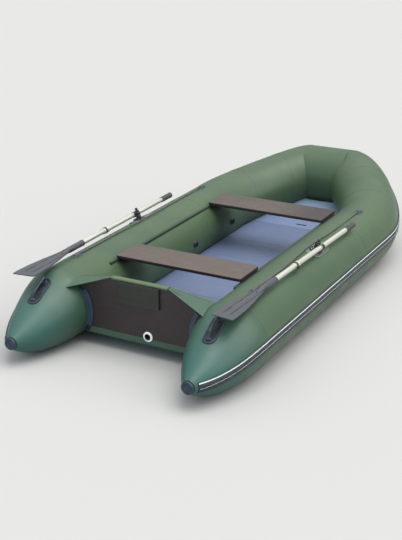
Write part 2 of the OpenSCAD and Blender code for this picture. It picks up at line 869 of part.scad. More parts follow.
module valve_body(y) {
    translate([half_w - valve_face, y, tube_r]) difference() {
        union() {
            translate([-4, 0, 0]) cross_rod(valve_flange_r, 4);
            translate([-7, 0, 0]) cross_rod(valve_sleeve_r, 27);
        }
        translate([-8, 0, 0]) cross_rod(valve_bore_r, 26);
    }
}

module valve_bodies() {
    color("#2a2f31") placed() {
        both_sides() valve_body(side_valve_y);
        mirror([1, 0, 0]) valve_body(bow_valve_y);
    }
}

module valve_cap(y) {
    color("#15181a") placed() translate([half_w - valve_face, y, tube_r]) {
        translate([-7 - seat_gap - 7, 0, 0]) cross_rod(valve_cap_r, 7);
        translate([-8, 0, 0]) cross_rod(valve_bore_r - run_gap, 9);
        translate([-7 - seat_gap - 7 - 5, -3, -valve_cap_r + 6]) cube([6, 6, 2 * valve_cap_r - 12]);
    }
}

module port_valve_cap() mirror([1, 0, 0]) valve_cap(side_valve_y);
module starboard_valve_cap() valve_cap(side_valve_y);
module bow_valve_cap() mirror([1, 0, 0]) valve_cap(bow_valve_y);

// ---- Tow ring ----

// Moves +Z to point square out of the tube across the bow, downwards and forwards
module on_bow() {
    placed() translate([0, bow_y, tube_r + bow_rise]) rotate([-tow_angle, 0, 0]) children();
}

tow_face = tube_r * cos(side_step / 2) + seat_gap;

module tow_patch() {
    color("#2b3440") on_bow() difference() {
        union() {
            translate([0, 0, tow_face]) cylinder(r = tow_patch_r, h = tow_patch_t);
            translate([-10, 0, tow_face + tow_lug_h]) cross_rod(tow_lug_r, 20);
            translate([-10, -tow_lug_r, tow_face + tow_patch_t - 1])
                cube([20, 2 * tow_lug_r, tow_lug_h - tow_patch_t + 1]);
        }
        translate([-30, 0, tow_face + tow_lug_h]) cross_rod(tow_bar_r + run_gap, 60);
    }
}

module tow_ring() {
    color("#b9bdc0") on_bow() translate([0, 0, tow_face + tow_lug_h]) rotate([tow_angle, 0, 0]) {
        translate([-tow_ring_r, 0, 0]) cross_rod(tow_bar_r, 2 * tow_ring_r);
        rotate([-90, 0, 0]) rotate_extrude(angle = 180)
            translate([tow_ring_r, 0]) circle(r = tow_bar_r, $fn = 32);
        for (side = [-1, 1])
            translate([side * tow_ring_r, 0, 0]) sphere(r = tow_bar_r);
    }
}

port_tube();
starboard_tube();
bow_tube();
bulkheads();
tail_caps();
bottom_skin();
floor_board_1();
floor_board_2();
floor_board_3();
floor_board_4();
floor_board_5();
floor_board_6();
bow_floor_board();
transom_board();
motor_pad();
motor_plate();
transom_holders();
transom_tape();
transom_trim();
gussets();
drain_valve();
drain_plug();
side_strakes();
bow_strake();
carry_pads();
carry_handles();
seat_rails();
aft_seat();
aft_seat_clips();
forward_seat();
forward_seat_clips();
oarlock_pads();
oarlock_bases();
port_yoke();
starboard_yoke();
port_knob();
starboard_knob();
port_oar_ring();
port_blade();
port_lower_shaft();
port_collar();
port_button();
port_upper_shaft();
port_grip();
starboard_oar_ring();
starboard_blade();
starboard_lower_shaft();
starboard_collar();
starboard_button();
starboard_upper_shaft();
starboard_grip();
port_rope();
starboard_rope();
rope_patches();
valve_bodies();
port_valve_cap();
starboard_valve_cap();
bow_valve_cap();
tow_patch();
tow_ring();
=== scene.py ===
"""The looks of an inflatable boat: coated fabric tubes, wooden transom, boards and seats, oars in their oarlocks."""
import math

import bmesh
import bpy
from mathutils import Matrix, Vector


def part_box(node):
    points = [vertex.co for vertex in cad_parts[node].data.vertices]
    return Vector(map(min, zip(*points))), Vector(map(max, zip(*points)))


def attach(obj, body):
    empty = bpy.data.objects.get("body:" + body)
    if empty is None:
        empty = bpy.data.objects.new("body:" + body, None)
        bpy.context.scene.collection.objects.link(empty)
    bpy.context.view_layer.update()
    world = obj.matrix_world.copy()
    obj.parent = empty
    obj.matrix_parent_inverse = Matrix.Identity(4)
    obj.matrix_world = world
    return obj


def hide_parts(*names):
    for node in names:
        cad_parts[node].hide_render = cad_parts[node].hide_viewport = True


bl_info = {
    "name": "Inflatable boat",
    "version": (1, 0, 0),
    "blender": (4, 5, 0),
    "location": "3D View > Sidebar > Boat",
    "description": "Builds the visible pieces of an inflatable boat around its packed frame",
    "category": "Object",
}

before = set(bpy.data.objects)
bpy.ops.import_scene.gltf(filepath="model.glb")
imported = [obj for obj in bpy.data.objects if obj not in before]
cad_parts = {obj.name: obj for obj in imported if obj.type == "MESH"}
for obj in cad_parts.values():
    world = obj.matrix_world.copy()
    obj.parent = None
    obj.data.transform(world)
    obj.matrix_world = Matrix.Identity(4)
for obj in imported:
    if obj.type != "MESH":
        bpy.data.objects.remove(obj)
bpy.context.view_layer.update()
TRANSOM_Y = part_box("transom_board")[0].y
AXIS_Z = sum(corner.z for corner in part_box("starboard_tube")) / 2
TAIL_CAP_R = 0.036
HALF_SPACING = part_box("tail_caps")[1].x - TAIL_CAP_R
BULKHEAD_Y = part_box("starboard_tube")[1].y
SIDES = (("port", True), ("starboard", False))


def paint(code):
    """A linear colour from a six-figure screen colour."""
    shades = [int(code[i:i + 2], 16) / 255 for i in (0, 2, 4)]
    return tuple(s / 12.92 if s <= 0.04045 else ((s + 0.055) / 1.055) ** 2.4 for s in shades)


# ---- Settings ----

def length(name, about, default):
    return bpy.props.FloatProperty(name=name, description=about, default=default, min=0, unit="LENGTH")


def angle(name, about, default):
    return bpy.props.FloatProperty(name=name, description=about, default=math.radians(default), subtype="ANGLE")


def colour(name, about, code):
    return bpy.props.FloatVectorProperty(
        name=name, description=about, default=paint(code), min=0, max=1, subtype="COLOR")


class HullSizes(bpy.types.PropertyGroup):
    """Sizes of the tubes and what is glued to them."""
    tube_r: length("Tube radius", "Outer radius of the tubes", 0.205)
    side_l: length("Side length", "Straight length of a side tube from the transom", 1.873)
    bow_reach: length("Bow reach", "How far the tube across the bow lies past the sides", 0.751)
    bow_flat: length("Bow flat", "Straight length of the tube across the bow", 0.308)
    bow_handle: length("Bow roundness", "How far the sides run on before they turn in", 0.304)
    bow_corner: length("Bow corner", "How softly the tube turns into the bow", 0.079)
    bow_rise: length("Bow rise", "How high the bow lifts", 0.129)
    rise_from: length("Rise start", "Where the tubes start to lift", 1.725)
    tail_l: length("Tail length", "Length of the cones behind the transom", 0.44)
    tail_r: length("Tail radius", "Radius at the cones' ends", 0.033)
    tail_z: length("Tail height", "Height of the middle of the cones' ends", 0.14)
    strake_w: length("Strake width", "Width of the rubbing strake round the tubes", 0.072)
    strake_t: length("Strake thickness", "Thickness of the rubbing strake", 0.0083)
    strake_line_w: length("Strake line width", "Width of each pale line on the strake", 0.0056)
    seam_w: length("Seam width", "Width of the fabric tape over a seam", 0.026)
    bottom_z: length("Bottom height", "Height of the bottom fabric over the tubes' lowest line", 0.082)


class HullColours(bpy.types.PropertyGroup):
    """Colours of the tubes and what is glued to them."""
    tube: colour("Tubes", "Coated fabric of the tubes", "3f5139")
    tube_dark: colour("Tube shade", "Darker patches of the coated fabric", "344a37")
    # The tails' green is painted cool light: it stands in for the bluish light on the aft-facing cones.
    tail: colour("Tails", "The cooler green at the tails", "29504b")
    strake: colour("Strake", "Rubber of the strake", "1d242d")
    line: colour("Strake lines", "Lines along the strake", "cbd4d0")
    handle: colour("Handles", "Rubber of the carry handles and tail caps", "1b2a3b")
    wood: colour("Transom", "Varnish of the transom", "2b2022")
    floor: colour("Floor", "Paint of the floor boards", "56627e")
    seat: colour("Seats", "Varnish of the seats", "4c423d")
    trim: colour("Trim", "Piping over the transom's edge", "47593f")


class OarSizes(bpy.types.PropertyGroup):
    """Sizes of the oars and their oarlocks."""
    lock_y: length("Oarlock place", "Distance of the oarlocks from the transom", 0.97)
    lock_lean: angle("Oarlock lean", "Lean of the oarlocks to the outside", 17)
    shaft_r: length("Shaft radius", "Radius of an oar's shaft", 0.0145)
    post_r: length("Post radius", "Radius of the post that the oar turns on", 0.006)
    web: length("Web", "Plastic between the post and the shaft", 0.0055)
    toe: angle("Toe", "Angle of an oar to the boat's length", 1.4)
    pitch: angle("Pitch", "Fall of an oar to its grip", 0.5)
    fore: length("Fore length", "Oar in front of the oarlock", 0.47)
    aft: length("Aft length", "Oar behind the oarlock", 1.188)
    blade_l: length("Blade length", "Length of a blade", 0.592)
    blade_w: length("Blade width", "Width of a blade at its end", 0.13)
    joint: length("Shaft joint", "Distance of the shaft's joint behind the oarlock", 0.345)
    grip_l: length("Grip length", "Length of a grip", 0.125)


def hull():
    return bpy.context.scene.boat_hull


def hues():
    return bpy.context.scene.boat_colours


def oars():
    return bpy.context.scene.boat_oars


# ---- Materials ----

class Finish:
    """A principled material that is built up from procedural patterns on Object coordinates."""

    def __init__(self, name, base, roughness=0.5, **sockets):
        self.material = bpy.data.materials.new(name)
        self.material.use_nodes = True
        self.nodes = self.material.node_tree.nodes
        self.links = self.material.node_tree.links
        self.shader = self.nodes["Principled BSDF"]
        self.shader.inputs["Base Color"].default_value = (*base, 1)
        self.shader.inputs["Roughness"].default_value = roughness
        for socket, value in sockets.items():
            self.shader.inputs[socket.replace("_", " ")].default_value = value
        self.place = self.nodes.new("ShaderNodeTexCoord").outputs["Object"]
        self.colour = None
        self.height = None

    def mapped(self, scale):
        node = self.nodes.new("ShaderNodeMapping")
        node.inputs["Scale"].default_value = scale
        self.links.new(self.place, node.inputs["Vector"])
        return node.outputs["Vector"]

    def noise(self, scale, detail=3, stretch=(1, 1, 1), distortion=0.0):
        node = self.nodes.new("ShaderNodeTexNoise")
        node.inputs["Scale"].default_value = scale
        node.inputs["Detail"].default_value = detail
        node.inputs["Distortion"].default_value = distortion
        self.links.new(self.mapped(stretch), node.inputs["Vector"])
        return node.outputs["Fac"]

    def wave(self, scale, direction="X", distortion=0.0, stretch=(1, 1, 1)):
        node = self.nodes.new("ShaderNodeTexWave")
        node.bands_direction = direction
        node.inputs["Scale"].default_value = scale
        node.inputs["Distortion"].default_value = distortion
        self.links.new(self.mapped(stretch), node.inputs["Vector"])
        return node.outputs["Fac"]

    def cells(self, scale):
        node = self.nodes.new("ShaderNodeTexVoronoi")
        node.inputs["Scale"].default_value = scale
        self.links.new(self.mapped((1, 1, 1)), node.inputs["Vector"])
        return node.outputs["Distance"]

    def between(self, value, low, high, to_low=0.0, to_high=1.0):
        node = self.nodes.new("ShaderNodeMapRange")
        self.links.new(value, node.inputs["Value"])
        for socket, number in zip(("From Min", "From Max", "To Min", "To Max"), (low, high, to_low, to_high)):
            node.inputs[socket].default_value = number
        return node.outputs["Result"]

    def along(self, axis, low, high):
        """0 at low to 1 at high along an axis of the boat, in metres."""
        node = self.nodes.new("ShaderNodeSeparateXYZ")
        self.links.new(self.place, node.inputs["Vector"])
        return self.between(node.outputs[axis], low, high)

    def tint(self, share, colour_to):
        """Blends the colour so far towards another by a share."""
        node = self.nodes.new("ShaderNodeMix")
        node.data_type = "RGBA"
        self.links.new(share, node.inputs["Factor"])
        if self.colour is None:
            node.inputs["A"].default_value = self.shader.inputs["Base Color"].default_value
        else:
            self.links.new(self.colour, node.inputs["A"])
        node.inputs["B"].default_value = (*colour_to, 1)
        self.colour = node.outputs["Result"]
        self.links.new(self.colour, self.shader.inputs["Base Color"])
        return self

    def gloss(self, value, low, high):
        self.links.new(self.between(value, 0.25, 0.75, low, high), self.shader.inputs["Roughness"])
        return self

    def relief(self, value, depth, strength=1.0):
        """Adds a bump of a depth in metres."""
        node = self.nodes.new("ShaderNodeBump")
        node.inputs["Strength"].default_value = strength
        node.inputs["Distance"].default_value = depth
        self.links.new(value, node.inputs["Height"])
        if self.height is not None:
            self.links.new(self.height, node.inputs["Normal"])
        self.height = node.outputs["Normal"]
        self.links.new(self.height, self.shader.inputs["Normal"])
        return self


def shade(base, share):
    """A darker or lighter copy of a colour."""
    return tuple(min(1, c * share) for c in base)


def coated_fabric(name, base, dark):
    """Coated fabric: a fine weave under a satin skin, slow waves, and a cooler green at the tails that is painted cool
    light.
    """
    made = Finish(name, base, 0.44, Specular_IOR_Level=0.36, Coat_Weight=0.1, Coat_Roughness=0.4)
    made.tint(made.between(made.noise(2.2, 4), 0.35, 0.7), dark)
    # Painted cool light: the fabric turns to the tails' green behind the transom, where bluish light falls on the
    # cones.
    made.tint(made.along("Y", TRANSOM_Y + 0.12, TRANSOM_Y - 0.3), hues().tail)
    made.tint(made.between(made.noise(38, 5), 0.5, 0.8, 0, 0.16), shade(dark, 0.6))
    made.gloss(made.noise(9, 4), 0.38, 0.52)
    made.relief(made.wave(420, "DIAGONAL"), 0.0002, 0.25)
    made.relief(made.noise(700, 2), 0.0002, 0.3)
    made.relief(made.noise(5, 3, (1, 0.35, 1)), 0.006, 0.35)
    return made.material


def moulded_rubber(name, base, roughness=0.5):
    """Rubber with a fine pebble, scuffs and a bloom of dust."""
    made = Finish(name, base, roughness, Specular_IOR_Level=0.4)
    made.tint(made.between(made.noise(26, 5), 0.45, 0.8, 0, 0.35), tuple(c * 0.6 + 0.08 for c in base))
    made.gloss(made.noise(60, 4), roughness - 0.12, roughness + 0.12)
    made.relief(made.cells(600), 0.0002, 0.35)
    made.relief(made.noise(14, 4), 0.0012, 0.25)
    return made.material


def moulded_plastic(name, base, roughness=0.38):
    """Moulded plastic with a fine grain and faint flow marks."""
    made = Finish(name, base, roughness, Specular_IOR_Level=0.5)
    made.tint(made.between(made.noise(18, 4, distortion=0.4), 0.4, 0.8, 0, 0.4), shade(base, 1.5))
    made.gloss(made.noise(90, 3), roughness - 0.08, roughness + 0.12)
    made.relief(made.cells(900), 0.0001, 0.3)
    return made.material


def plywood(name, base, paint_share=0.0, grain=(1, 12, 12), roughness=0.42):
    """Faced plywood: long grain under varnish, or under paint where only a little of it shows."""
    made = Finish(name, base, roughness, Specular_IOR_Level=0.4, Coat_Weight=0.12, Coat_Roughness=0.3)
    strength = 1 - paint_share
    made.tint(made.between(made.noise(7, 6, grain, 0.6), 0.42, 0.7, 0, 0.75 * strength), shade(base, 0.62))
    made.tint(made.between(made.wave(5, "Y", 5, grain), 0.5, 1.0, 0, 0.3 * strength), shade(base, 0.5))
    made.tint(made.between(made.noise(4, 4), 0.4, 0.75, 0, 0.35), shade(base, 1.22))
    made.gloss(made.noise(22, 4), roughness - 0.1, roughness + 0.14)
    made.relief(made.noise(40, 5, grain), 0.0004, 0.35)
    return made.material


def seat_with_painted_shade(name, base):
    """Seat varnish with painted shade that darkens and reddens it towards starboard."""
    made = plywood(name, base, 0.45, (1, 9, 9), 0.48)
    nodes, links = made.node_tree.nodes, made.node_tree.links
    shader = nodes["Principled BSDF"]
    # Painted shade: the varnish darkens towards starboard along X.
    split, shade_ramp, mix = (nodes.new(f"ShaderNode{kind}") for kind in ("SeparateXYZ", "MapRange", "Mix"))
    links.new(nodes["Texture Coordinate"].outputs["Object"], split.inputs["Vector"])
    links.new(split.outputs["X"], shade_ramp.inputs["Value"])
    shade_ramp.inputs["From Min"].default_value = 0.05
    shade_ramp.inputs["From Max"].default_value = 0.3
    shade_ramp.inputs["To Max"].default_value = 0.85
    mix.data_type = "RGBA"
    mix.inputs["B"].default_value = (*paint("2c2223"), 1)
    links.new(shade_ramp.outputs["Result"], mix.inputs["Factor"])
    links.new(shader.inputs["Base Color"].links[0].from_socket, mix.inputs["A"])
    links.new(mix.outputs["Result"], shader.inputs["Base Color"])
    return made


def drawn_metal(name, base, roughness, grain=(60, 1, 60)):
    """Metal with fine marks along its length."""
    made = Finish(name, base, roughness, Metallic=0.75, Anisotropic=0.35)
    made.tint(made.between(made.noise(9, 4), 0.4, 0.8, 0, 0.3), shade(base, 0.8))
    made.gloss(made.noise(10, 4, grain), roughness - 0.1, roughness + 0.12)
    made.relief(made.noise(14, 3, grain), 0.0001, 0.2)
    return made.material


def braided_rope(name, base):
    """Braid: two sets of slanting strands that cross."""
    made = Finish(name, base, 0.8, Sheen_Weight=0.4)
    made.tint(made.wave(150, "DIAGONAL"), shade(base, 2.2))
    made.relief(made.wave(170, "DIAGONAL"), 0.0012, 0.8)
    made.relief(made.wave(170, "DIAGONAL", 0, (-1, 1, 1)), 0.0012, 0.8)
    return made.material


def make_finishes():
    h = hues()
    return {
        "fabric": coated_fabric("tube_fabric", h.tube, h.tube_dark),
        # A darker copy of the tube fabric: painted shade for the bulkheads inside the tubes and the seat rails under
        # the seats.
        "inner_fabric": coated_fabric("inner_fabric", shade(h.tube_dark, 0.5), shade(h.tube_dark, 0.35)),
        "tape": coated_fabric("seam_tape", shade(h.tube, 1.03), h.tube_dark),
        "bottom": coated_fabric("bottom_fabric", paint("7889a0"), paint("6b7c92")),
        "strake": moulded_rubber("strake_rubber", h.strake, 0.46),
        "line": moulded_rubber("strake_line", h.line, 0.45),
        "handle": moulded_rubber("handle_rubber", h.handle, 0.42),
        # A darker copy of the handle rubber: painted shade in the handle plates' hollows and the patches' grooves.
        "recess_painted_shade": moulded_rubber("handle_recess_painted_shade", shade(h.handle, 0.35), 0.6),
        "cap": moulded_rubber("cap_rubber", h.handle, 0.45),
        "pad_rubber": moulded_rubber("oarlock_pad_rubber", paint("5a6361"), 0.5),
        "patch": moulded_rubber("patch_rubber", paint("40484a"), 0.55),
        "transom": plywood("transom_wood", h.wood, 0.2, (1, 1, 9), 0.45),
        "pad": plywood("motor_pad_wood", paint("24251f"), 0.3, (1, 1, 9), 0.5),
        "floor": plywood("floor_paint", h.floor, 0.75, (1, 9, 9), 0.5),
        # A lighter copy of the floor paint: a painted highlight for the glare on the sloping bow board.
        "bow_floor": plywood("bow_floor_painted_glare", shade(h.floor, 1.35), 0.75, (1, 9, 9), 0.5),
        "seat": plywood("seat_varnish", h.seat, 0.45, (1, 9, 9), 0.48),
        # The forward seat is a darker copy of the seat varnish: painted shade, deeper towards starboard.
        "forward_seat": seat_with_painted_shade("forward_seat_painted_shade", shade(h.seat, 0.85)),
        "trim": moulded_rubber("pale_trim", h.trim, 0.5),
        "holder": moulded_rubber("holder_rubber", paint("2b3b4d"), 0.35),
        "black": moulded_plastic("black_plastic", paint("1d2022")),
        "dark": moulded_plastic("dark_plastic", paint("2b2f33"), 0.45),
        "white": moulded_plastic("valve_white", paint("e3e9ea"), 0.3),
        "blade": moulded_plastic("blade_plastic", paint("3a3c42"), 0.42),
        "rib": moulded_plastic("blade_rib", paint("1e2023"), 0.45),
        "grip": moulded_rubber("grip_rubber", paint("3d4143"), 0.6),
        "shaft": drawn_metal("shaft_metal", paint("c6c6bc"), 0.42),
        "steel": drawn_metal("steel", paint("c3c8ca"), 0.28, (8, 8, 8)),
        "rope": braided_rope("rope", paint("141b15")),
    }


FINISHES = {}


# ---- Shapes ----

def turn_by(degrees, axis):
    return Matrix.Rotation(math.radians(degrees), 4, axis)


def move_to(bm, place):
    bmesh.ops.transform(bm, matrix=place, verts=bm.verts)


def next_ring(bm, ring):
    """Extrudes a closed ring of vertices and returns the new one in the same order."""
    edges = [bm.edges.get(pair) for pair in zip(ring, ring[1:] + ring[:1])]
    made = bmesh.ops.extrude_edge_only(bm, edges=edges)["geom"]
    fresh = {v for v in made if isinstance(v, bmesh.types.BMVert)}
    return [next(e.other_vert(v) for e in v.link_edges if e.other_vert(v) in fresh) for v in ring]


def loft(rings, closed_ends=True, index=None):
    """A skin through rings of points. index(side) gives the material of each strip between two points."""
    bm = bmesh.new()
    first = [bm.verts.new(point) for point in rings[0]]
    for pair in zip(first, first[1:] + first[:1]):
        bm.edges.new(pair)
    if closed_ends:
        bm.faces.new(first)
    ring = first
    for points in rings[1:]:
        fresh = next_ring(bm, ring)
        for vertex, point in zip(fresh, points):
            vertex.co = point
        if index:
            for side, (a, b) in enumerate(zip(fresh, fresh[1:] + fresh[:1])):
                for face in bm.edges.get((a, b)).link_faces:
                    face.material_index = index(side)
        ring = fresh
    if closed_ends:
        bm.faces.new(ring)
    return bm


def join(bm, part, place=None, material=None):
    """Adds a part to a shape, moved to its place."""
    if place is not None:
        move_to(part, place)
    if material is not None:
        for face in part.faces:
            face.material_index = material
    mesh = bpy.data.meshes.new("part")
    bmesh.ops.remove_doubles(part, verts=part.verts, dist=1e-6)
    bmesh.ops.recalc_face_normals(part, faces=part.faces)
    part.to_mesh(mesh)
    part.free()
    bm.from_mesh(mesh)
    bpy.data.meshes.remove(mesh)


def turned(outline, steps=40):
    """A shape turned about +Z from an outline of [radius, height]."""
    bm = bmesh.new()
    line = [bm.verts.new((r, 0, z)) for r, z in outline]
    edges = [bm.edges.new(pair) for pair in zip(line, line[1:])]
    bmesh.ops.spin(bm, geom=line + edges, axis=(0, 0, 1), cent=(0, 0, 0), angle=math.tau, steps=steps, use_merge=True)
    bmesh.ops.remove_doubles(bm, verts=bm.verts, dist=1e-6)
    bmesh.ops.recalc_face_normals(bm, faces=bm.faces)
    return bm


def rod(r, start, end, bevel=0.001, steps=32):
    """A rod along +Z with rounded rims."""
    return turned([(0, start), (r - bevel, start), (r - bevel * 0.3, start + bevel * 0.3), (r, start + bevel),
                   (r, end - bevel), (r - bevel * 0.3, end - bevel * 0.3), (r - bevel, end), (0, end)], steps)


def sleeve(outer, inner, start, end, bevel=0.001, steps=40):
    """A tube along +Z with rounded rims."""
    return turned([(inner, start), (outer - bevel, start), (outer, start + bevel), (outer, end - bevel),
                   (outer - bevel, end), (inner, end), (inner, start)], steps)


def block(size, centre=(0, 0, 0), bevel=0.002, segments=3):
    """A box with rounded edges."""
    bm = bmesh.new()
    bmesh.ops.create_cube(bm, size=1, matrix=Matrix.Translation(centre) @ Matrix.Diagonal((*size, 1)))
    bmesh.ops.bevel(bm, geom=bm.edges[:], offset=bevel, affect="EDGES", segments=segments, profile=0.5, material=-1)
    return bm


def stadium_points(long, wide, share, straight=10, round_steps=12):
    """An outline with round ends in XY, clockwise from the +X side. share narrows it to its middle line at 0."""
    half, r = (long - wide) / 2, wide / 2 * share
    points = [(r, half - 2 * half * i / straight) for i in range(straight)]
    points += [(r * math.cos(a), -half - r * math.sin(a))
               for a in (math.pi * i / round_steps for i in range(round_steps))]
    points += [(-r, -half + 2 * half * i / straight) for i in range(straight)]
    points += [(-r * math.cos(a), half + r * math.sin(a))
               for a in (math.pi * i / round_steps for i in range(round_steps))]
    return points


def stadium_plate(long, wide, steps, put, index=None):
    """A plate with round ends, laid by put(x, y, lift). steps is [share of the width, lift] from rim to middle."""
    rings = [[put(x, y, lift) for x, y in stadium_points(long, wide, share)] for share, lift in [(0, 0), *steps]]
    return loft(rings, False, index)


def bent_rod(points, radii, sides=16, flat=1.0):
    """A rod through points in the YZ plane, whose section is flattened across it by flat."""
    rings = []
    for i, (point, r) in enumerate(zip(points, radii)):
        before, after = Vector(points[max(0, i - 1)]), Vector(points[min(len(points) - 1, i + 1)])
        way = (after - before).normalized()
        out = Vector((0, -way.z, way.y))
        rings.append([Vector(point) + Vector((1, 0, 0)) * r * math.cos(a) + out * r * flat * math.sin(a)
                      for a in (math.tau * k / sides for k in range(sides))])
    return loft(rings)


def piece(name, bm, finishes, nodes=(), body="hull", crisp=38, port=False):
    """Makes a finished piece from a shape: outward faces, sharp edges kept, riding on its body."""
    if port:
        bmesh.ops.scale(bm, vec=(-1, 1, 1), verts=bm.verts)
    bmesh.ops.remove_doubles(bm, verts=bm.verts, dist=1e-6)
    bmesh.ops.dissolve_degenerate(bm, dist=1e-7, edges=bm.edges)
    bmesh.ops.recalc_face_normals(bm, faces=bm.faces)
    for face in bm.faces:
        face.smooth = True
    for edge in bm.edges:
        edge.smooth = edge.calc_face_angle(0.0) < math.radians(crisp)
    mesh = bpy.data.meshes.new(name)
    bm.to_mesh(mesh)
    bm.free()
    made = bpy.data.objects.new(name, mesh)
    bpy.context.scene.collection.objects.link(made)
    for key in finishes:
        mesh.materials.append(FINISHES[key])
    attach(made, body)
    if nodes:
        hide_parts(*nodes)
    return made


def both_sides(shape):
    """A shape and its mirror image on the port side, in one."""
    bm = bmesh.new()
    other = shape.copy()
    join(bm, shape)
    bmesh.ops.scale(other, vec=(-1, 1, 1), verts=other.verts)
    join(bm, other)
    return bm


# ---- The tubes' way ----

class Station:
    """A point on the tubes' centreline, its radius, and its heading from +Y towards port."""

    def __init__(self, x, y, z, r, heading):
        self.x, self.y, self.z, self.r, self.heading = x, y, z, r, heading

    def at(self, around, r):
        """A point at an angle from the top, outwards, and a distance from the centreline."""
        out = r * math.sin(around)
        return Vector((self.x + out * math.cos(self.heading), self.y + TRANSOM_Y + out * math.sin(self.heading),
                       self.z + r * math.cos(around)))

    def to_port(self):
        return Station(-self.x, self.y, self.z, self.r, math.pi - self.heading)


def rise(y):
    h = hull()
    bow_y = h.side_l + h.bow_reach
    return h.bow_rise * max(0.0, (y - h.rise_from) / (bow_y - h.rise_from)) ** 2.1


def side(y):
    """The station of the starboard tube at a distance from the transom, on its cone where that is negative."""
    h = hull()
    if y >= 0:
        return Station(HALF_SPACING, y, AXIS_Z + rise(y), h.tube_r, 0)
    t = -y / h.tail_l
    top = 2 * h.tube_r - (2 * h.tube_r - h.tail_z - h.tail_r) * t ** 1.3
    low = (h.tail_z - h.tail_r) * t ** 3
    return Station(HALF_SPACING, y, (top + low) / 2 + AXIS_Z - h.tube_r, (top - low) / 2, 0)


def bow(t):
    """The station of the starboard half of the bow, from the side at 0 to its flat at 1."""
    h = hull()
    bow_y = h.side_l + h.bow_reach
    p = [Vector((HALF_SPACING, h.side_l)), Vector((HALF_SPACING, h.side_l + h.bow_handle)),
         Vector((h.bow_flat / 2 + h.bow_corner, bow_y)), Vector((h.bow_flat / 2, bow_y))]
    u = 1 - t
    point = p[0] * u ** 3 + p[1] * 3 * t * u * u + p[2] * 3 * t * t * u + p[3] * t ** 3
    slope = (p[1] - p[0]) * u * u + (p[2] - p[1]) * 2 * t * u + (p[3] - p[2]) * t * t
    return Station(point.x, point.y, AXIS_Z + rise(point.y), h.tube_r, math.atan2(-slope.x, slope.y))


def steps_between(start, end, count):
    return [start + (end - start) * i / count for i in range(count + 1)]


def side_stations(start):
    """Stations from a share of the tail cone to the bulkhead, close together where the cone curves."""
    h = hull()
    tail = [side(-h.tail_l * t) for t in steps_between(start, 0.03, 26)]
    return tail + [side(y) for y in steps_between(0, BULKHEAD_Y - TRANSOM_Y, 30)]


def bow_stations():
    h = hull()
    straight = [side(y) for y in steps_between(BULKHEAD_Y - TRANSOM_Y, h.side_l, 16)]
    starboard = straight[:-1] + [bow(t) for t in steps_between(0, 1, 40)]
    across = [Station(x, starboard[-1].y, starboard[-1].z, h.tube_r, math.pi / 2)
              for x in steps_between(h.bow_flat / 2, -h.bow_flat / 2, 6)[1:-1]]
    return starboard + across + [s.to_port() for s in reversed(starboard)]


def skin(around, y, lift=0.0):
    """A point over the starboard tube's skin, at an angle from its top and a distance from the transom."""
    station = side(y)
    return station.at(around, station.r + lift)


def resting(point):
    """The same point, or the one over it on the ground where it would lie lower."""
    point.z = max(point.z, 0.0)
    return point


def tube_rings(stations, sides=96):
    return [[resting(s.at(math.tau * i / sides, s.r)) for i in range(sides)] for s in stations]


def band(centre, wide, lift):
    """A tape round the tube: stations and lifts across its width. centre(offset) gives a station."""
    half = wide / 2
    offsets = [(-half, -0.0006), (-half + 0.0008, lift), (0, lift * 1.15), (half - 0.0008, lift), (half, -0.0006)]
    stations = [(centre(offset), high) for offset, high in offsets]
    return loft([[resting(s.at(math.tau * i / 96, s.r + high)) for i in range(96)] for s, high in stations], False)


# ---- Hull ----

def make_tubes():
    """Three air tubes with their cones, welded ends and seam tapes."""
    h = hull()
    for name, port in SIDES:
        shape = loft(tube_rings(side_stations(0.985)))
        made = piece(f"{name}_air_tube", shape, ["fabric"], [f"{name}_tube"], port=port)
    made = piece("bow_air_tube", loft(tube_rings(bow_stations())), ["fabric"], ["bow_tube"])
    seams = bmesh.new()
    for y in (0.045, BULKHEAD_Y - TRANSOM_Y):
        join(seams, both_sides(band(lambda offset, y=y: side(y + offset), h.seam_w, 0.0009)))
    bow_l = 0.9
    for t in (0.28, 0.62, 0.97):
        join(seams, both_sides(band(lambda offset, t=t: bow(t + offset / bow_l), h.seam_w, 0.0009)))
    piece("seam_tapes", seams, ["tape"])


def make_bulkheads():
    """Fabric walls inside the tubes."""
    wall = Matrix.Translation((HALF_SPACING, BULKHEAD_Y, AXIS_Z)) @ turn_by(90, "X")
    r = hull().tube_r - 0.002
    dome = turned([(0, -0.001), (r * 0.7, -0.0008), (r, 0), (r * 0.7, 0.0012), (0, 0.002)], 64)
    move_to(dome, wall)
    piece("bulkhead_walls", both_sides(dome), ["inner_fabric"], ["bulkheads"])


def make_bottom():
    """The bottom fabric, pulled tight between the tubes and sagging a little between the boards."""
    h = hull()
    drop = h.tube_r - h.bottom_z
    reach = math.sqrt((h.tube_r + 0.0006) ** 2 - drop ** 2)
    feet = []
    for s in [side(0.0003)] + bow_stations()[:57]:
        foot = (s.x - reach * math.cos(s.heading), s.y - reach * math.sin(s.heading), s.z - drop)
        if (not feet or foot[1] > feet[-1][1] + 0.004) and foot[1] < h.side_l + h.bow_reach - reach:
            feet.append(foot)
    across = 12
    bm = bmesh.new()
    bmesh.ops.create_grid(bm, x_segments=across, y_segments=len(feet) - 1, size=0.5)
    for v in bm.verts:
        row = round((v.co.y + 0.5) * (len(feet) - 1))
        x, y, z = feet[row]
        share = v.co.x * 2
        v.co = (x * share, y + TRANSOM_Y, z - 0.004 * (1 - share ** 2) ** 0.5)
    area = sum(face.calc_area() for face in bm.faces)
    bmesh.ops.solidify(bm, geom=bm.faces[:], thickness=0.001)
    made = piece("bottom_fabric", bm, ["bottom"], ["bottom_skin"])


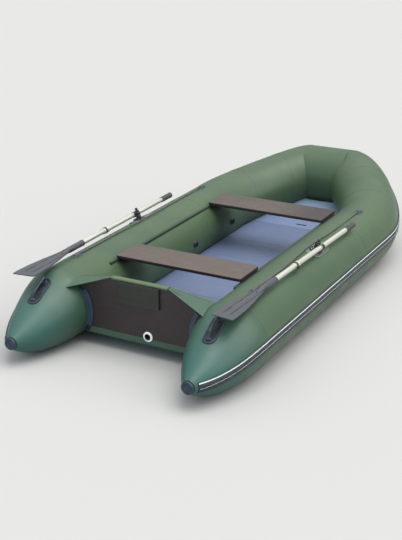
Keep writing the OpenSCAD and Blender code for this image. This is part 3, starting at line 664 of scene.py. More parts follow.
def strake_ring(s):
    """The strake's section at a station: a flat bead with two raised lines, no narrower on a thin tube."""
    h = hull()
    t, line, middle = h.strake_t, h.strake_line_w / 2, math.radians(85)
    half, first, second = h.strake_w / 2, -0.0165, 0.012
    section = [(first - line - 0.0035, 0), (first - line - 0.0022, t * 0.6), (first - line - 0.0015, t * 0.8),
               (first - line - 0.001, t * 0.86), (first - line, t), (first + line, t), (first + line + 0.001, t * 0.84),
               (-0.006, t * 0.84), (-0.005, t * 0.96), (-0.001, t * 0.96), (0, t * 0.84), (0.001, t * 0.96),
               (0.005, t * 0.96), (0.006, t * 0.84), (second - line * 0.7, t * 0.84), (second - line * 0.6, t),
               (second + line * 0.6, t), (second + line * 0.7, t * 0.84), (0.02, t * 0.84), (0.021, t * 0.96),
               (0.025, t * 0.96), (0.026, t * 0.84), (half - 0.007, t * 0.78), (half - 0.002, t * 0.55), (half, 0),
               (0, 0)]
    return [s.at(middle + along / max(s.r, 0.05), s.r + lift) for along, lift in section]


PALE_STRIPS = (4, 14)


def make_strakes():
    """The rubbing strake round the boat, with its two pale lines."""
    def index(strip):
        return 1 if strip in PALE_STRIPS else 0
    sides = loft([strake_ring(s) for s in side_stations(0.95)], True, index)
    piece("side_rubbing_strakes", both_sides(sides), ["strake", "line"], ["side_strakes"])
    bow_part = loft([strake_ring(s) for s in bow_stations()], True, index)
    piece("bow_rubbing_strake", bow_part, ["strake", "line"], ["bow_strake"])


def make_tail_caps():
    """Rubber caps on the cones' ends."""
    h = hull()
    r = h.tail_r + 0.003
    outline = [(0, 0), (r * 0.45, 0.0004), (r * 0.5, 0.0016), (r * 0.55, 0.0004), (r * 0.78, 0.001), (r * 0.9, 0.0026),
               (r * 0.97, 0.0055), (r, 0.009), (r * 0.985, 0.0125), (r * 0.9, 0.014), (0, 0.016)]
    cap = turned(outline, 48)
    end_z = h.tail_z + AXIS_Z - h.tube_r
    place = Matrix.Translation((HALF_SPACING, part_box("tail_caps")[0].y, end_z))
    move_to(cap, place @ turn_by(-90, "X"))
    piece("tail_end_caps", both_sides(cap), ["cap"], ["tail_caps"])


def make_gussets():
    """Fabric corners from the transom's top edge down to the tubes, with pale piping on their free edges."""
    low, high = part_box("transom_trim")
    corner = Vector((high.x + 0.003, (low.y + high.y) / 2, high.z - 0.004))
    around = math.radians(-35.5)
    edge = [skin(around, y, 0.003) for y in steps_between(-0.072, 0.07, 12)]
    rows = 10
    for name, port in SIDES:
        bm = bmesh.new()
        bmesh.ops.create_grid(bm, x_segments=len(edge) - 1, y_segments=rows, size=0.5)
        for v in bm.verts:
            i, u = round((v.co.x + 0.5) * (len(edge) - 1)), v.co.y + 0.5
            top = corner + Vector((0, 0.024 * (i / (len(edge) - 1) - 0.5), 0))
            v.co = edge[i].lerp(top, u)
            v.co.z -= 0.006 * math.sin(math.pi * u) * math.sin(math.pi * i / (len(edge) - 1))
        area = sum(face.calc_area() for face in bm.faces)
        bmesh.ops.solidify(bm, geom=bm.faces[:], thickness=0.0016)
        made = piece(f"{name}_gusset", bm, ["fabric"], ["gussets"], port=port)
    piping = bmesh.new()
    for start, top in ((edge[0], corner + Vector((0, -0.012, 0))), (edge[-1], corner + Vector((0, 0.012, 0)))):
        way = [start.lerp(top, u) for u in steps_between(0, 1, 8)]
        join(piping, both_sides(cord_tube(way, 0.0018, 8)))
    piece("gusset_piping", piping, ["trim"])


def cord_tube(way, r, sides):
    """A round tube along points."""
    rings = []
    for i, point in enumerate(way):
        along = (way[min(i + 1, len(way) - 1)] - way[max(i - 1, 0)]).normalized()
        across = along.cross(Vector((0, 0, 1))).normalized()
        up = across.cross(along)
        rings.append([point + r * (across * math.cos(a) + up * math.sin(a))
                      for a in (math.tau * k / sides for k in range(sides))])
    return loft(rings)


def make_transom():
    """The rounded trim over the transom's top edge."""
    low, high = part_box("transom_trim")
    mid_y, half = (low.y + high.y) / 2, (high.y - low.y) / 2
    outline = [(-half, low.z), (-half, high.z - 0.005), (-half * 0.8, high.z - 0.0012), (-half * 0.4, high.z),
               (half * 0.4, high.z), (half * 0.8, high.z - 0.0012), (half, high.z - 0.005), (half, low.z),
               (half - 0.0035, low.z), (half - 0.0037, high.z - 0.004), (-half + 0.0037, high.z - 0.004),
               (-half + 0.0035, low.z)]
    rings = [[Vector((x, mid_y + y, z)) for y, z in outline] for x in steps_between(low.x, high.x, 12)]
    piece("transom_piping", loft(rings), ["trim"], ["transom_trim"])


# ---- Fittings on the hull ----

def make_carry_handles():
    """Moulded handles on the tail cones: a rimmed oval plate with a hollow darkened by painted shade, and a ribbed bar
    over it.
    """
    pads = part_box("carry_pads")
    mid_y = (pads[0].y + pads[1].y) / 2 - TRANSOM_Y
    slope = 1.13
    long, wide = (pads[1].y - pads[0].y) * slope, 0.076

    def put(x, y, lift):
        station = side(mid_y + y / slope)
        return station.at(x / station.r, station.r + 0.0004 + lift)
    plate = stadium_plate(long, wide, [(1, 0), (1, 0.003), (0.96, 0.0055), (0.9, 0.0085), (0.82, 0.0085),
                                       (0.76, 0.006), (0.72, 0.0032), (0.4, 0.0026), (0, 0.0026)], put)
    # The hollow under the bar takes the darker rubber: painted shade.
    for face in plate.faces:
        centre = face.calc_center_median()
        station = side(centre.y - TRANSOM_Y)
        lift = (centre - Vector((station.x, centre.y, station.z))).length - station.r
        face.material_index = 1 if 0.0022 < lift < 0.0046 and abs(centre.x - HALF_SPACING) < wide * 0.37 else 0
    shape = bmesh.new()
    join(shape, plate)
    t = steps_between(-1, 1, 40)
    reach, height, foot = 0.066, 0.036, 0.0045
    bar = []
    for u in t:
        lift = foot + (height - foot) * min(1, ((1 - abs(u)) / 0.2)) ** 0.5 if abs(u) < 1 else foot
        bar.append(put(0, u * reach, lift))
    grip = [0.0075 + 0.0012 * (abs(u) > 0.72) + 0.0007 * math.cos(u * 60) * (abs(u) < 0.6) for u in t]
    rod_shape = bent_rod([(0, p.y, p.z) for p in bar], grip, 16, 0.85)
    join(shape, rod_shape, Matrix.Translation((HALF_SPACING, 0, 0)), 0)
    for end in (-1, 1):
        foot_at = put(0, end * reach, 0.003)
        boss = turned([(0, 0.012), (0.008, 0.011), (0.012, 0.006), (0.0145, 0.001), (0.015, -0.001), (0, -0.001)], 24)
        lean = Matrix.Translation(foot_at) @ turn_by(27.5, "X")
        join(shape, boss, lean, 0)
    piece("carry_handle_mouldings", both_sides(shape), ["handle", "recess_painted_shade"], ["carry_handles", "carry_pads"])


def make_drain():
    """The drain: a white ringed flange on each face with screws, and the plug inside."""
    valve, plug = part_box("drain_valve"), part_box("drain_plug")
    centre = (valve[0] + valve[1]) / 2
    r, bore = (valve[1].x - valve[0].x) / 2, 0.0141
    turn = Matrix.Translation((centre.x, valve[0].y, centre.z)) @ turn_by(-90, "X")
    thick = valve[1].y - valve[0].y
    shape = bmesh.new()
    join(shape, turned([(bore, 0.0012), (bore + 0.0015, 0.0008), (0.0182, 0.0006), (0.0188, -0.0002), (r * 0.7, 0),
                        (r * 0.78, 0.0012), (r * 0.86, 0.0008),
                        (r * 0.95, 0.0012), (r, 0.003), (r, 0.0052), (0.019, 0.0053), (0.019, thick - 0.0053),
                        (r, thick - 0.0052), (r, thick - 0.003), (r * 0.95, thick - 0.0006), (bore + 0.0015, thick),
                        (bore, thick - 0.0012), (bore, 0.0012)], 64), turn)
    for face in shape.faces:
        middle = face.calc_center_median()
        near = math.hypot(middle.x - centre.x, middle.z - centre.z)
        face.material_index = 2 if near < 0.0185 else 0
    for k in range(4):
        a = math.radians(45 + 90 * k)
        spot = turn @ Matrix.Translation((r * 0.77 * math.cos(a), r * 0.77 * math.sin(a), 0.0004))
        join(shape, turned([(0, -0.0012), (0.0016, -0.0012), (0.0026, -0.0004), (0.003, 0.001), (0, 0.001)], 12),
             spot, 1)
    piece("drain_flange", shape, ["white", "steel", "black"], ["drain_valve"])
    middle = (plug[0] + plug[1]) / 2
    turn = Matrix.Translation((middle.x, plug[0].y, middle.z)) @ turn_by(-90, "X")
    stop = bmesh.new()
    join(stop, rod(0.0138, 0, 0.0195, 0.0012), turn)
    lobes = turned([(0, 0.0135), (0.0175, 0.0135), (0.02, 0.0155), (0.02, 0.0195), (0.0185, 0.0213), (0, 0.0213)], 48)
    for v in lobes.verts:
        a = math.atan2(v.co.y, v.co.x)
        v.co.xy *= 1 - 0.05 * (1 - math.cos(8 * a)) / 2
    join(stop, lobes, turn)
    join(stop, block((0.0055, 0.026, 0.011), (0, 0, 0.0255), 0.0016), turn)
    piece("drain_stopper", stop, ["black"], ["drain_plug"], "drain_plug")


def make_valves():
    """Inflation valves in the tubes' inner sides: a flanged body each, and a ribbed cap that turns."""
    bodies = bmesh.new()
    face_x = HALF_SPACING - hull().tube_r
    for node, port in (("port_valve_cap", True), ("starboard_valve_cap", False), ("bow_valve_cap", True)):
        low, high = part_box(node)
        centre = (low + high) / 2
        turn = Matrix.Translation((face_x, centre.y, centre.z)) @ turn_by(-90, "Y")
        body = turned([(0.0122, -0.018), (0.0175, -0.018), (0.0175, -0.001), (0.026, -0.0008), (0.027, 0.0006),
                       (0.026, 0.0026), (0.0215, 0.0034), (0.0185, 0.005), (0.0178, 0.0068), (0.0122, 0.0068),
                       (0.0122, -0.018)], 48)
        move_to(body, turn)
        cap = bmesh.new()
        dome = turned([(0, 0.0072), (0.0185, 0.0072), (0.0198, 0.0088), (0.0198, 0.0125), (0.0188, 0.0138),
                       (0.012, 0.0144), (0.0115, 0.0132), (0, 0.0132)], 60)
        for v in dome.verts:
            if v.co.xy.length > 0.018:
                v.co.xy *= 1 - 0.035 * (1 + math.cos(20 * math.atan2(v.co.y, v.co.x))) / 2
        join(cap, dome, turn)
        join(cap, block((0.027, 0.0055, 0.0062), (0, 0, 0.0165), 0.0012), turn)
        join(cap, rod(0.0118, -0.001, 0.008), turn)
        if port:
            bmesh.ops.scale(body, vec=(-1, 1, 1), verts=body.verts)
        join(bodies, body)
        piece(node.replace("_cap", "_lid"), cap, ["black"], [node], node, port=port)
    piece("valve_flanges", bodies, ["dark"], ["valve_bodies"])


HUMP_SHIFT = 0.001


def make_rope_patches():
    """Oval rubber patches at the ropes' ends, each with a hump that the rope runs into."""
    patches = bmesh.new()
    for y, lean, ahead in ((0.238, 0.1222, -HUMP_SHIFT), (1.732, 0.1469, HUMP_SHIFT)):
        def put(x, along, lift, y=y, lean=lean):
            return skin(lean + x / hull().tube_r, y + along, lift + 0.0004)
        join(patches, stadium_plate(0.084, 0.044, [(1, 0), (1, 0.0022), (0.94, 0.0038), (0.6, 0.0042), (0.3, 0.0044),
                                                   (0, 0.0044)], put), None, 0)
        hump = stadium_plate(0.05, 0.027, [(1, 0.002), (0.98, 0.008), (0.86, 0.0135), (0.6, 0.0165), (0.3, 0.0176),
                                           (0, 0.018)],
                             lambda x, along, lift: put(x, along + ahead, lift))
        join(patches, hump, None, 0)
        for slot_x in (-0.0172, 0.0172):
            groove = stadium_plate(0.034, 0.0032, [(1, 0.003), (1, 0.0045), (0.6, 0.0048), (0, 0.0048)],
                                   lambda x, along, lift, slot_x=slot_x: put(x + slot_x, along, lift))
            # The grooves take the darker rubber: painted shade in the slots.
            join(patches, groove, None, 1)
    piece("rope_end_patches", both_sides(patches), ["patch", "recess_painted_shade"], ["rope_patches"])


ROPE_ROUTE = [
    (0.025, 0.262, 0.213), (0.025, 0.42, 0.209), (0.025, 0.64, 0.2085), (0.017, 0.86, 0.2135),
    (0.017, 1.08, 0.2135), (0.027, 1.29, 0.2085), (0.029, 1.56, 0.209), (0.03, 1.708, 0.213),
]


def rope_way(steps=12):
    """The starboard rope's smooth way, from its aft patch to its forward patch."""
    p = [Vector((HALF_SPACING + x, TRANSOM_Y + y, AXIS_Z + z)) for x, y, z in ROPE_ROUTE]
    way = []
    for i in range(len(p) - 1):
        a, b, c, d = p[max(0, i - 1)], p[i], p[i + 1], p[min(len(p) - 1, i + 2)]
        for k in range(steps):
            t = k / steps
            way.append(0.5 * (2 * b + (c - a) * t + (2 * a - 5 * b + 4 * c - d) * t * t
                              + (3 * b - a - 3 * c + d) * t ** 3))
    return way + [p[-1]]


def make_ropes():
    """The grab rope along each tube, held in a patch at each end."""
    for name, sign in (("port", -1), ("starboard", 1)):
        way = [Vector((sign * p.x, p.y, p.z)) for p in rope_way()]
        made = piece(f"{name}_grab_rope", cord_tube(way, 0.0045, 12), ["rope"], [f"{name}_rope"])


def make_tow_point():
    """The towing patch under the bow and its steel ring."""
    low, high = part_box("tow_ring")
    pivot = Vector((0, (low.y + high.y) / 2, high.z - 0.004))
    face = hull().tube_r * math.cos(math.radians(5)) + 0.0003
    axis = Vector((0, hull().side_l + hull().bow_reach + TRANSOM_Y, AXIS_Z + hull().bow_rise))
    place = Matrix.Translation(axis) @ turn_by(-120, "X")
    patch = bmesh.new()
    join(patch, turned([(0, face), (0.037, face), (0.038, face + 0.0015), (0.0365, face + 0.004),
                        (0.03, face + 0.005), (0, face + 0.0056)], 56), place)
    join(patch, block((0.02, 0.0176, 0.0165), (0, 0, face + 0.0125), 0.0035), place)
    piece("tow_patch_moulding", patch, ["handle"], ["tow_patch"])
    ring = bmesh.new()
    r, bar = 0.024, 0.004
    bend = [Vector((r * math.cos(a), 0, -r * math.sin(a))) for a in steps_between(0, math.pi, 28)]
    loop = bend + [Vector((-r, 0, 0)).lerp(Vector((r, 0, 0)), u) for u in steps_between(0.04, 0.96, 8)]
    rings = []
    for i, point in enumerate(loop):
        along = (loop[(i + 1) % len(loop)] - loop[i - 1]).normalized()
        out = along.cross(Vector((0, 1, 0)))
        rings.append([pivot + point + bar * (Vector((0, 1, 0)) * math.cos(a) + out * math.sin(a))
                      for a in (math.tau * k / 16 for k in range(16))])
    join(ring, loft(rings + [rings[0]], False))
    piece("tow_ring_bar", ring, ["steel"], ["tow_ring"], "tow_ring")


# ---- Oarlocks and oars ----

def lock_place():
    """Local +Z square out of the starboard tube at the oarlock, from the tube's centreline."""
    o = oars()
    return (Matrix.Translation((HALF_SPACING, TRANSOM_Y + o.lock_y, AXIS_Z))
            @ Matrix.Rotation(o.lock_lean, 4, "Y"))


LOCK_BASE_TOP, BARREL_R, LUG_R, LUG_IN, LUG_T, BOSS_TOP = 0.2125, 0.0055, 0.006, 0.015, 0.0065, 0.257
TILT_R = LOCK_BASE_TOP + BARREL_R + 0.0005


def oar_place():
    """The starboard oar's own frame: +Y to the grip, z = 0 on the shaft's axis."""
    o = oars()
    ring_r = o.shaft_r + 0.003
    beside, above = o.post_r + o.web + o.shaft_r, TILT_R + LUG_R + ring_r + 0.0012
    spot = lock_place() @ Vector((beside, 0, above))
    return Matrix.Translation(spot) @ Matrix.Rotation(-o.toe, 4, "Z") @ Matrix.Rotation(-o.pitch, 4, "X")


def along_oar(start):
    """Turns a shape made along +Z to lie along the oar from a distance in front of the oarlock."""
    return oar_place() @ Matrix.Translation((0, start, 0)) @ turn_by(-90, "X")


def make_oarlock_seats():
    """Grey oval pads on the tubes and the round housings on them, whose ears hold the tilting yokes."""
    o = oars()

    def put(x, y, lift):
        return skin(o.lock_lean + x / hull().tube_r, o.lock_y + 0.025 + y, lift + 0.0004)
    pads = stadium_plate(0.21, 0.1, [(1, 0), (1, 0.002), (0.97, 0.0034), (0.9, 0.004), (0.86, 0.0033), (0.6, 0.0033),
                                     (0.3, 0.0036), (0, 0.004)], put)
    piece("oarlock_pad_ovals", both_sides(pads), ["pad_rubber"], ["oarlock_pads"])
    base = bmesh.new()
    dish = turned([(0, 0.2045), (0.037, 0.2045), (0.038, 0.2062), (0.0378, 0.2115), (0.0365, 0.2145), (0.0335, 0.2155),
                   (0.0305, 0.2148), (0.0285, 0.2128), (0.022, 0.2125), (0, 0.2125)], 64)
    for v in dish.verts:
        if v.co.z < 0.2075:
            v.co.z = max(0.17, math.sqrt(0.2098 ** 2 - min(v.co.x ** 2, 0.04)))
    join(base, dish, lock_place(), 0)
    for k in range(6):
        a = math.radians(30 + 60 * k)
        spot = lock_place() @ Matrix.Translation((0.025 * math.cos(a), 0.025 * math.sin(a), 0.2118))
        join(base, turned([(0, 0.0016), (0.0018, 0.0015), (0.003, 0.0006), (0.0034, -0.002), (0, -0.002)], 12), spot, 1)
    for end in (-1, 1):
        y = end * (LUG_IN + LUG_T / 2)
        ear = rod(LUG_R, -LUG_T / 2, LUG_T / 2, 0.0012)
        place = lock_place() @ Matrix.Translation((0, y, TILT_R))
        join(base, ear, place @ turn_by(90, "X"), 0)
        join(base, block((2 * LUG_R, LUG_T, 0.009), (0, 0, -0.0042), 0.0012), place, 0)
    piece("oarlock_housings", both_sides(base), ["black", "steel"], ["oarlock_bases"])


def make_oarlocks():
    """The yokes with their posts, the wing knobs on top, and the clamps that hold the oars."""
    o = oars()
    for name, port in SIDES:
        yoke = bmesh.new()
        across = lock_place() @ Matrix.Translation((0, 0, TILT_R)) @ turn_by(90, "X")
        join(yoke, rod(BARREL_R, -LUG_IN + 0.0004, LUG_IN - 0.0004, 0.001), across, 0)
        join(yoke, rod(0.0024, -LUG_IN - LUG_T, LUG_IN + LUG_T, 0.0006), across, 1)
        join(yoke, rod(o.post_r, TILT_R, BOSS_TOP + 0.012, 0.001), lock_place(), 0)
        piece(f"{name}_oarlock_yoke", yoke, ["dark", "steel"], [f"{name}_yoke"], f"{name}_yoke",
              port=port)
        low = BOSS_TOP + 0.0004
        knob = turned([(0, low), (0.0125, low), (0.0145, low + 0.002), (0.0145, low + 0.0065), (0.0105, low + 0.0095),
                       (0.0068, low + 0.0115), (0.0074, low + 0.0135), (0.0092, low + 0.0165), (0.0098, low + 0.0195),
                       (0.0084, low + 0.0232), (0.0048, low + 0.0256), (0, low + 0.0262)], 60)
        for v in knob.verts:
            if v.co.z < low + 0.0085 and v.co.xy.length > 0.011:
                v.co.xy *= 1 - 0.16 * (1 + math.cos(6 * math.atan2(v.co.y, v.co.x))) / 2
        move_to(knob, lock_place())
        piece(f"{name}_oarlock_knob", knob, ["black"], [f"{name}_knob"], f"{name}_knob", port=port)
        clamp = bmesh.new()
        ring_r = o.shaft_r + 0.003
        join(clamp, turned([(o.shaft_r, -0.013), (ring_r - 0.001, -0.013), (ring_r, -0.012), (ring_r, -0.0095),
                            (ring_r - 0.0012, -0.0088), (ring_r - 0.0012, 0.0088), (ring_r, 0.0095), (ring_r, 0.012),
                            (ring_r - 0.001, 0.013), (o.shaft_r, 0.013), (o.shaft_r, -0.013)], 48), along_oar(0), 0)
        low, body_r = TILT_R + BARREL_R + 0.0004, o.post_r + 0.0125
        join(clamp, turned([(o.post_r, low), (body_r - 0.003, low), (body_r, low + 0.003), (body_r, low + 0.008),
                            (body_r - 0.0025, low + 0.01),
                            (body_r - 0.0025, BOSS_TOP - 0.011), (body_r, BOSS_TOP - 0.009),
                            (body_r, BOSS_TOP - 0.003), (body_r - 0.003, BOSS_TOP), (o.post_r, BOSS_TOP),
                            (o.post_r, low)], 48), lock_place(), 0)
        beside = o.post_r + o.web + o.shaft_r
        web = block((0.016, 0.02, 0.02), (beside - o.shaft_r - 0.004, 0, TILT_R + LUG_R + ring_r + 0.0015), 0.0025)
        join(clamp, web, lock_place(), 0)
        for y in (-0.0065, 0.0065):
            bolt = turned([(0, 0.0022), (0.0018, 0.002), (0.0026, 0.0008), (0.0026, -0.004), (0, -0.004)], 16)
            spot = oar_place() @ Matrix.Translation((0, y, ring_r))
            join(clamp, bolt, spot, 1)
        piece(f"{name}_oar_clamp", clamp, ["black", "steel"], [f"{name}_oar_ring"], f"{name}_oar",
              port=port)


def half_width(s, wide):
    """Half the blade's width at a share s of its length from the neck."""
    stops = [(0, 0.0165), (0.25, 0.0205), (0.4, 0.031), (0.55, 0.72 * wide / 2), (0.75, 0.93 * wide / 2),
             (0.93, wide / 2), (1, 0.96 * wide / 2)]
    for (a, low), (b, high) in zip(stops, stops[1:]):
        if s <= b:
            u = (s - a) / (b - a)
            return low + (high - low) * u
    return stops[-1][1]


def make_blade(name, port):
    """A blade: a socket that flattens into a flared sheet with two stiffening ribs and a slanting end."""
    o = oars()
    mouth, tip = -(o.aft - o.blade_l), -o.aft
    across, along = 24, 60
    bm = bmesh.new()
    bmesh.ops.create_grid(bm, x_segments=across, y_segments=along, size=0.5)
    for v in bm.verts:
        s, u = 0.5 - v.co.y, v.co.x * 2
        x = u * half_width(s, o.blade_w)
        slant = 0.014 * (0.5 - u / 2) * max(0, (s - 0.9) / 0.1)
        rib = sum(math.exp(-((x - c) / 0.0035) ** 2) for c in (-0.021, 0.021)) * min(1, max(0, (s - 0.16) * 9))
        rib *= min(1, max(0, (0.9 - s) * 12))
        dish = 0.006 * math.sin(math.pi * min(1, s)) * (1 - u * u)
        v.co = (x, mouth + (tip - mouth) * s + slant, 0.0028 + 0.0035 * rib - dish * 0.4)
    ribs = [f for f in bm.faces
            if abs(abs(f.calc_center_median().x) - 0.021) < 0.0034
            and mouth + (tip - mouth) * 0.9 < f.calc_center_median().y < mouth + (tip - mouth) * 0.2]
    for face in ribs:
        face.material_index = 1
    bmesh.ops.solidify(bm, geom=bm.faces[:], thickness=0.0052)
    shape = bmesh.new()
    join(shape, bm, oar_place())
    r = o.shaft_r + 0.0035
    socket_l = 0.15
    socket = turned([(o.shaft_r, 0), (r - 0.0008, 0), (r + 0.0012, 0.001), (r + 0.0012, 0.006), (r, 0.0072),
                     (r, socket_l * 0.94), (r * 0.96, socket_l), (r * 0.8, socket_l + 0.02), (r * 0.5, socket_l + 0.05),
                     (0, socket_l + 0.07), (0, socket_l), (o.shaft_r, socket_l * 0.94), (o.shaft_r, 0)], 40)
    for v in socket.verts:
        past = max(0, (v.co.z - socket_l) / 0.07)
        v.co.y *= 1 - past * 0.7
    turn = oar_place() @ Matrix.Translation((0, mouth, 0)) @ turn_by(90, "X")
    join(shape, socket, turn, 0)
    piece(f"{name}_oar_blade", shape, ["blade", "rib"], [f"{name}_blade"], f"{name}_oar", port=port)


def make_oars():
    """Blades, ribbed grips, and the collars with their spring buttons on the shafts."""
    o = oars()
    for name, port in SIDES:
        make_blade(name, port)
        r = o.shaft_r + 0.003
        rings = [(o.shaft_r, 0), (r - 0.001, 0), (r, 0.001)]
        count = 14
        for i in range(count):
            start = 0.006 + i * (o.grip_l - 0.022) / count
            rings += [(r, start), (r - 0.0012, start + 0.001), (r - 0.0012, start + 0.003), (r, start + 0.004)]
        rings += [(r + 0.0008, o.grip_l - 0.012), (r + 0.0008, o.grip_l - 0.004), (r - 0.002, o.grip_l - 0.0005),
                  (0, o.grip_l), (0, o.grip_l - 0.005), (o.shaft_r, o.grip_l - 0.005), (o.shaft_r, 0)]
        grip = turned(rings, 40)
        move_to(grip, along_oar(o.fore - o.grip_l))
        piece(f"{name}_oar_grip", grip, ["grip"], [f"{name}_grip"], f"{name}_oar", port=port)
        collar = bmesh.new()
        c, half = o.shaft_r + 0.004, 0.03
        join(collar, turned([(o.shaft_r, -half), (c - 0.0015, -half), (c - 0.0002, -half + 0.0015),
                             (c - 0.0002, -half + 0.006), (c - 0.0016, -half + 0.0072), (c - 0.0016, half - 0.0072),
                             (c - 0.0002, half - 0.006), (c - 0.0002, half - 0.0015), (c - 0.0015, half),
                             (o.shaft_r, half), (o.shaft_r, -half)], 44), along_oar(-o.joint), 1)
        join(collar, sleeve(c + 0.0012, c - 0.0022, -0.009, 0.005, 0.0012), along_oar(-o.joint), 0)
        clip = block((0.012, 0.026, 0.015), (o.shaft_r + 0.0075, -o.joint - 0.006, -0.003), 0.0032)
        join(collar, clip, oar_place(), 0)
        piece(f"{name}_oar_collar", collar, ["black", "shaft"], [f"{name}_collar"], f"{name}_oar",
              port=port)
        inner, outer = 0.0085, o.shaft_r + 0.0072
        pin = turned([(0, inner), (0.0048, inner), (0.0048, outer - 0.0015), (0.0036, outer - 0.0003), (0, outer)], 24)
        spot = oar_place() @ Matrix.Translation((0, -o.joint + 0.015, 0)) @ turn_by(90, "Y")
        move_to(pin, spot)
        piece(f"{name}_oar_button", pin, ["steel"], [f"{name}_button"], f"{name}_button", port=port)


# ---- Carried-over parts ----

CARRIED = {
    "transom_board": ("transom", 0.0012), "motor_pad": ("pad", 0.0012), "motor_plate": ("black", 0.0008),
    # The seat rails take the darker copy of the tube fabric: painted shade under the seats.
    "transom_holders": ("holder", 0.0016), "transom_tape": ("fabric", 0.0005), "seat_rails": ("inner_fabric", 0.0015),
    "aft_seat_clips": ("black", 0.0012), "forward_seat_clips": ("black", 0.0012),
    # The bow board's lighter paint is a painted highlight.
    "bow_floor_board": ("bow_floor", 0.0012),
    **{f"floor_board_{i}": ("floor", 0.0012) for i in range(1, 7)},
    "port_lower_shaft": ("shaft", 0), "starboard_lower_shaft": ("shaft", 0),
    "port_upper_shaft": ("shaft", 0), "starboard_upper_shaft": ("shaft", 0),
}


def dress_carried():
    """Materials and softened edges for the parts that keep their own shape."""
    for node, (finish, bevel) in CARRIED.items():
        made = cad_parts[node]
        made.data.materials.clear()
        made.data.materials.append(FINISHES[finish])
        if bevel:
            weld = made.modifiers.new("weld", "WELD")
            weld.merge_threshold = 0.00002
            soft = made.modifiers.new("soft_edges", "BEVEL")
            soft.width = bevel
            soft.segments = 2
            soft.limit_method = "ANGLE"
            soft.angle_limit = math.radians(35)
            soft.harden_normals = False


def make_seats():
    """Bench boards with rounded corners and edges."""
    for name in ("aft", "forward"):
        low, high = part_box(f"{name}_seat")
        bm = bmesh.new()
        bmesh.ops.create_cube(bm, size=1, matrix=Matrix.Translation((low + high) / 2)
                              @ Matrix.Diagonal((*(high - low), 1)))
        upright = [e for e in bm.edges if abs(e.verts[0].co.z - e.verts[1].co.z) > 0.001]
        bmesh.ops.bevel(bm, geom=upright, offset=0.012, affect="EDGES", segments=5, profile=0.5, material=-1)
        rims = [e for e in bm.edges if abs(e.verts[0].co.z - e.verts[1].co.z) < 0.001]
        bmesh.ops.bevel(bm, geom=rims, offset=0.0035, affect="EDGES", segments=3, profile=0.5, material=-1)
        bm.normal_update()
        for face in bm.faces:
            face.material_index = 1 if abs(face.normal.z) < 0.5 else 0
        top = "forward_seat" if name == "forward" else "seat"
        piece(f"{name}_bench", bm, [top, "transom"], [f"{name}_seat"], f"{name}_seat")


# ---- Stage ----

def make_stage():
    """The pale floor and soft studio light."""
    scene = bpy.context.scene
    floor_finish = Finish("studio_floor", paint("a5a5a5"), 0.95, Specular_IOR_Level=0.0)
    floor_finish.relief(floor_finish.noise(3, 2), 0.001, 0.05)
    bpy.ops.mesh.primitive_plane_add(size=400, location=(0, 0, -0.0005))
    floor = bpy.context.object
    floor.name = "studio_floor"
    floor.data.materials.append(floor_finish.material)
    world = bpy.data.worlds.new("studio")
    world.use_nodes = True
    nodes, links = world.node_tree.nodes, world.node_tree.links
    split = nodes.new("ShaderNodeSeparateXYZ")
    links.new(nodes.new("ShaderNodeTexCoord").outputs["Generated"], split.inputs["Vector"])
    ramp = nodes.new("ShaderNodeValToRGB")
    ramp.color_ramp.elements[0].position = 0.05
    ramp.color_ramp.elements[0].color = (0.16, 0.2, 0.22, 1)
    ramp.color_ramp.elements[1].position = 0.9
    ramp.color_ramp.elements[1].color = (1, 1, 1, 1)
    links.new(split.outputs["Z"], ramp.inputs["Fac"])
    links.new(ramp.outputs["Color"], nodes["Background"].inputs["Color"])
    nodes["Background"].inputs["Strength"].default_value = 1.6
    scene.world = world
    for name, way, colour_of, spread, power in (
            ("key_light", (-0.3, 0.0, -1), (1, 0.98, 0.93), 50, 2.55),
            ("side_light", (-0.95, -0.2, -0.5), (1, 0.97, 0.92), 40, 1.1),
            ("aft_light", (0.1, 1, -0.22), (0.35, 0.85, 0.9), 50, 0.5)):
        data = bpy.data.lights.new(name, "SUN")
        data.angle = math.radians(spread)
        data.color = colour_of
        data.energy = power
        light = bpy.data.objects.new(name, data)
        light.rotation_euler = Vector(way).to_track_quat("-Z", "Y").to_euler()
        scene.collection.objects.link(light)
    scene.view_settings.view_transform = "Standard"


def make_camera():
    """The camera, to starboard of and behind the boat."""
    azimuth, elevation, roll = math.radians(28.955), math.radians(21.409), math.radians(-0.457)
    away = Vector((-math.sin(azimuth) * math.cos(elevation), math.cos(azimuth) * math.cos(elevation),
                   -math.sin(elevation)))
    right = Vector((math.cos(azimuth), math.sin(azimuth), 0))
    up = right.cross(away)
    turned_right = right * math.cos(roll) + up * math.sin(roll)
    turned_up = up * math.cos(roll) - right * math.sin(roll)
    data = bpy.data.cameras.new("camera")
    data.lens = 74.25
    data.sensor_width = 36
    data.clip_end = 200
    camera = bpy.data.objects.new("camera", data)
    turn = Matrix((turned_right, turned_up, -away)).transposed().to_4x4()
    camera.matrix_world = Matrix.Translation((2.95115, -5.84533, 2.66015)) @ turn
    bpy.context.scene.collection.objects.link(camera)
    bpy.context.scene.camera = camera


# ---- Operators, panel and run ----

class BuildOperator:
    """Runs the makers of one group of pieces."""
    bl_options = {"REGISTER", "UNDO"}
    makers = ()

    def execute(self, context):
        if not FINISHES:
            FINISHES.update(make_finishes())
        for make in type(self).makers:
            make()
        return {"FINISHED"}


class BOAT_OT_camera(BuildOperator, bpy.types.Operator):
    """Places the camera"""
    bl_idname = "boat.camera"
    bl_label = "Camera"
    makers = (make_camera,)


class BOAT_OT_ropes(BuildOperator, bpy.types.Operator):
    """Builds the grab ropes"""
    bl_idname = "boat.ropes"
    bl_label = "Grab ropes"
    makers = (make_ropes,)


class BOAT_OT_tubes(BuildOperator, bpy.types.Operator):
    """Builds the air tubes and their seams"""
    bl_idname = "boat.tubes"
    bl_label = "Air tubes"
    makers = (make_tubes, make_bulkheads)


class BOAT_OT_bottom(BuildOperator, bpy.types.Operator):
    """Builds the bottom fabric"""
    bl_idname = "boat.bottom"
    bl_label = "Bottom fabric"
    makers = (make_bottom,)


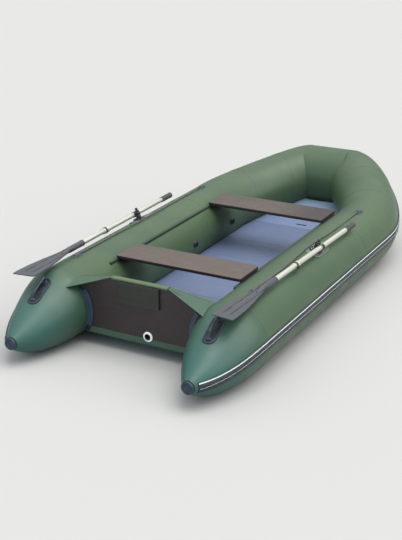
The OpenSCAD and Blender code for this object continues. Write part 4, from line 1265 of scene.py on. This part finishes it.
class BOAT_OT_strakes(BuildOperator, bpy.types.Operator):
    """Builds the rubbing strakes and tail caps"""
    bl_idname = "boat.strakes"
    bl_label = "Strakes and caps"
    makers = (make_strakes, make_tail_caps)


class BOAT_OT_transom(BuildOperator, bpy.types.Operator):
    """Builds the transom's trim, gussets and drain"""
    bl_idname = "boat.transom"
    bl_label = "Transom"
    makers = (make_transom, make_gussets, make_drain)


class BOAT_OT_fittings(BuildOperator, bpy.types.Operator):
    """Builds the handles, valves, patches and tow point"""
    bl_idname = "boat.fittings"
    bl_label = "Fittings"
    makers = (make_carry_handles, make_valves, make_rope_patches, make_tow_point)


class BOAT_OT_oarlocks(BuildOperator, bpy.types.Operator):
    """Builds the oarlocks"""
    bl_idname = "boat.oarlocks"
    bl_label = "Oarlocks"
    makers = (make_oarlock_seats, make_oarlocks)


class BOAT_OT_oars(BuildOperator, bpy.types.Operator):
    """Builds the oars"""
    bl_idname = "boat.oars"
    bl_label = "Oars"
    makers = (make_oars,)


class BOAT_OT_seats(BuildOperator, bpy.types.Operator):
    """Builds the seats and dresses the parts that keep their shape"""
    bl_idname = "boat.seats"
    bl_label = "Seats and boards"
    makers = (make_seats, dress_carried)


class BOAT_OT_stage(BuildOperator, bpy.types.Operator):
    """Builds the floor and the lights"""
    bl_idname = "boat.stage"
    bl_label = "Stage"
    makers = (make_stage,)


OPERATORS = (BOAT_OT_camera, BOAT_OT_ropes, BOAT_OT_tubes, BOAT_OT_bottom, BOAT_OT_strakes, BOAT_OT_transom,
             BOAT_OT_fittings, BOAT_OT_oarlocks, BOAT_OT_oars, BOAT_OT_seats, BOAT_OT_stage)


class BOAT_PT_panel(bpy.types.Panel):
    """Lists the boat's operators and sizes"""
    bl_idname = "BOAT_PT_panel"
    bl_label = "Inflatable boat"
    bl_space_type = "VIEW_3D"
    bl_region_type = "UI"
    bl_category = "Boat"

    def draw(self, context):
        for operator in OPERATORS:
            self.layout.operator(operator.bl_idname)
        for group in (context.scene.boat_hull, context.scene.boat_colours, context.scene.boat_oars):
            box = self.layout.box()
            for name in group.__annotations__:
                box.prop(group, name)


GROUPS = {"boat_hull": HullSizes, "boat_colours": HullColours, "boat_oars": OarSizes}
CLASSES = (*GROUPS.values(), *OPERATORS, BOAT_PT_panel)


def register():
    for cls in CLASSES:
        bpy.utils.register_class(cls)
    for name, group in GROUPS.items():
        setattr(bpy.types.Scene, name, bpy.props.PointerProperty(type=group))


def unregister():
    for name in GROUPS:
        delattr(bpy.types.Scene, name)
    for cls in reversed(CLASSES):
        bpy.utils.unregister_class(cls)


def main():
    register()
    for operator in OPERATORS:
        group, name = operator.bl_idname.split(".")
        getattr(getattr(bpy.ops, group), name)()


if __name__ == "__main__":
    main()
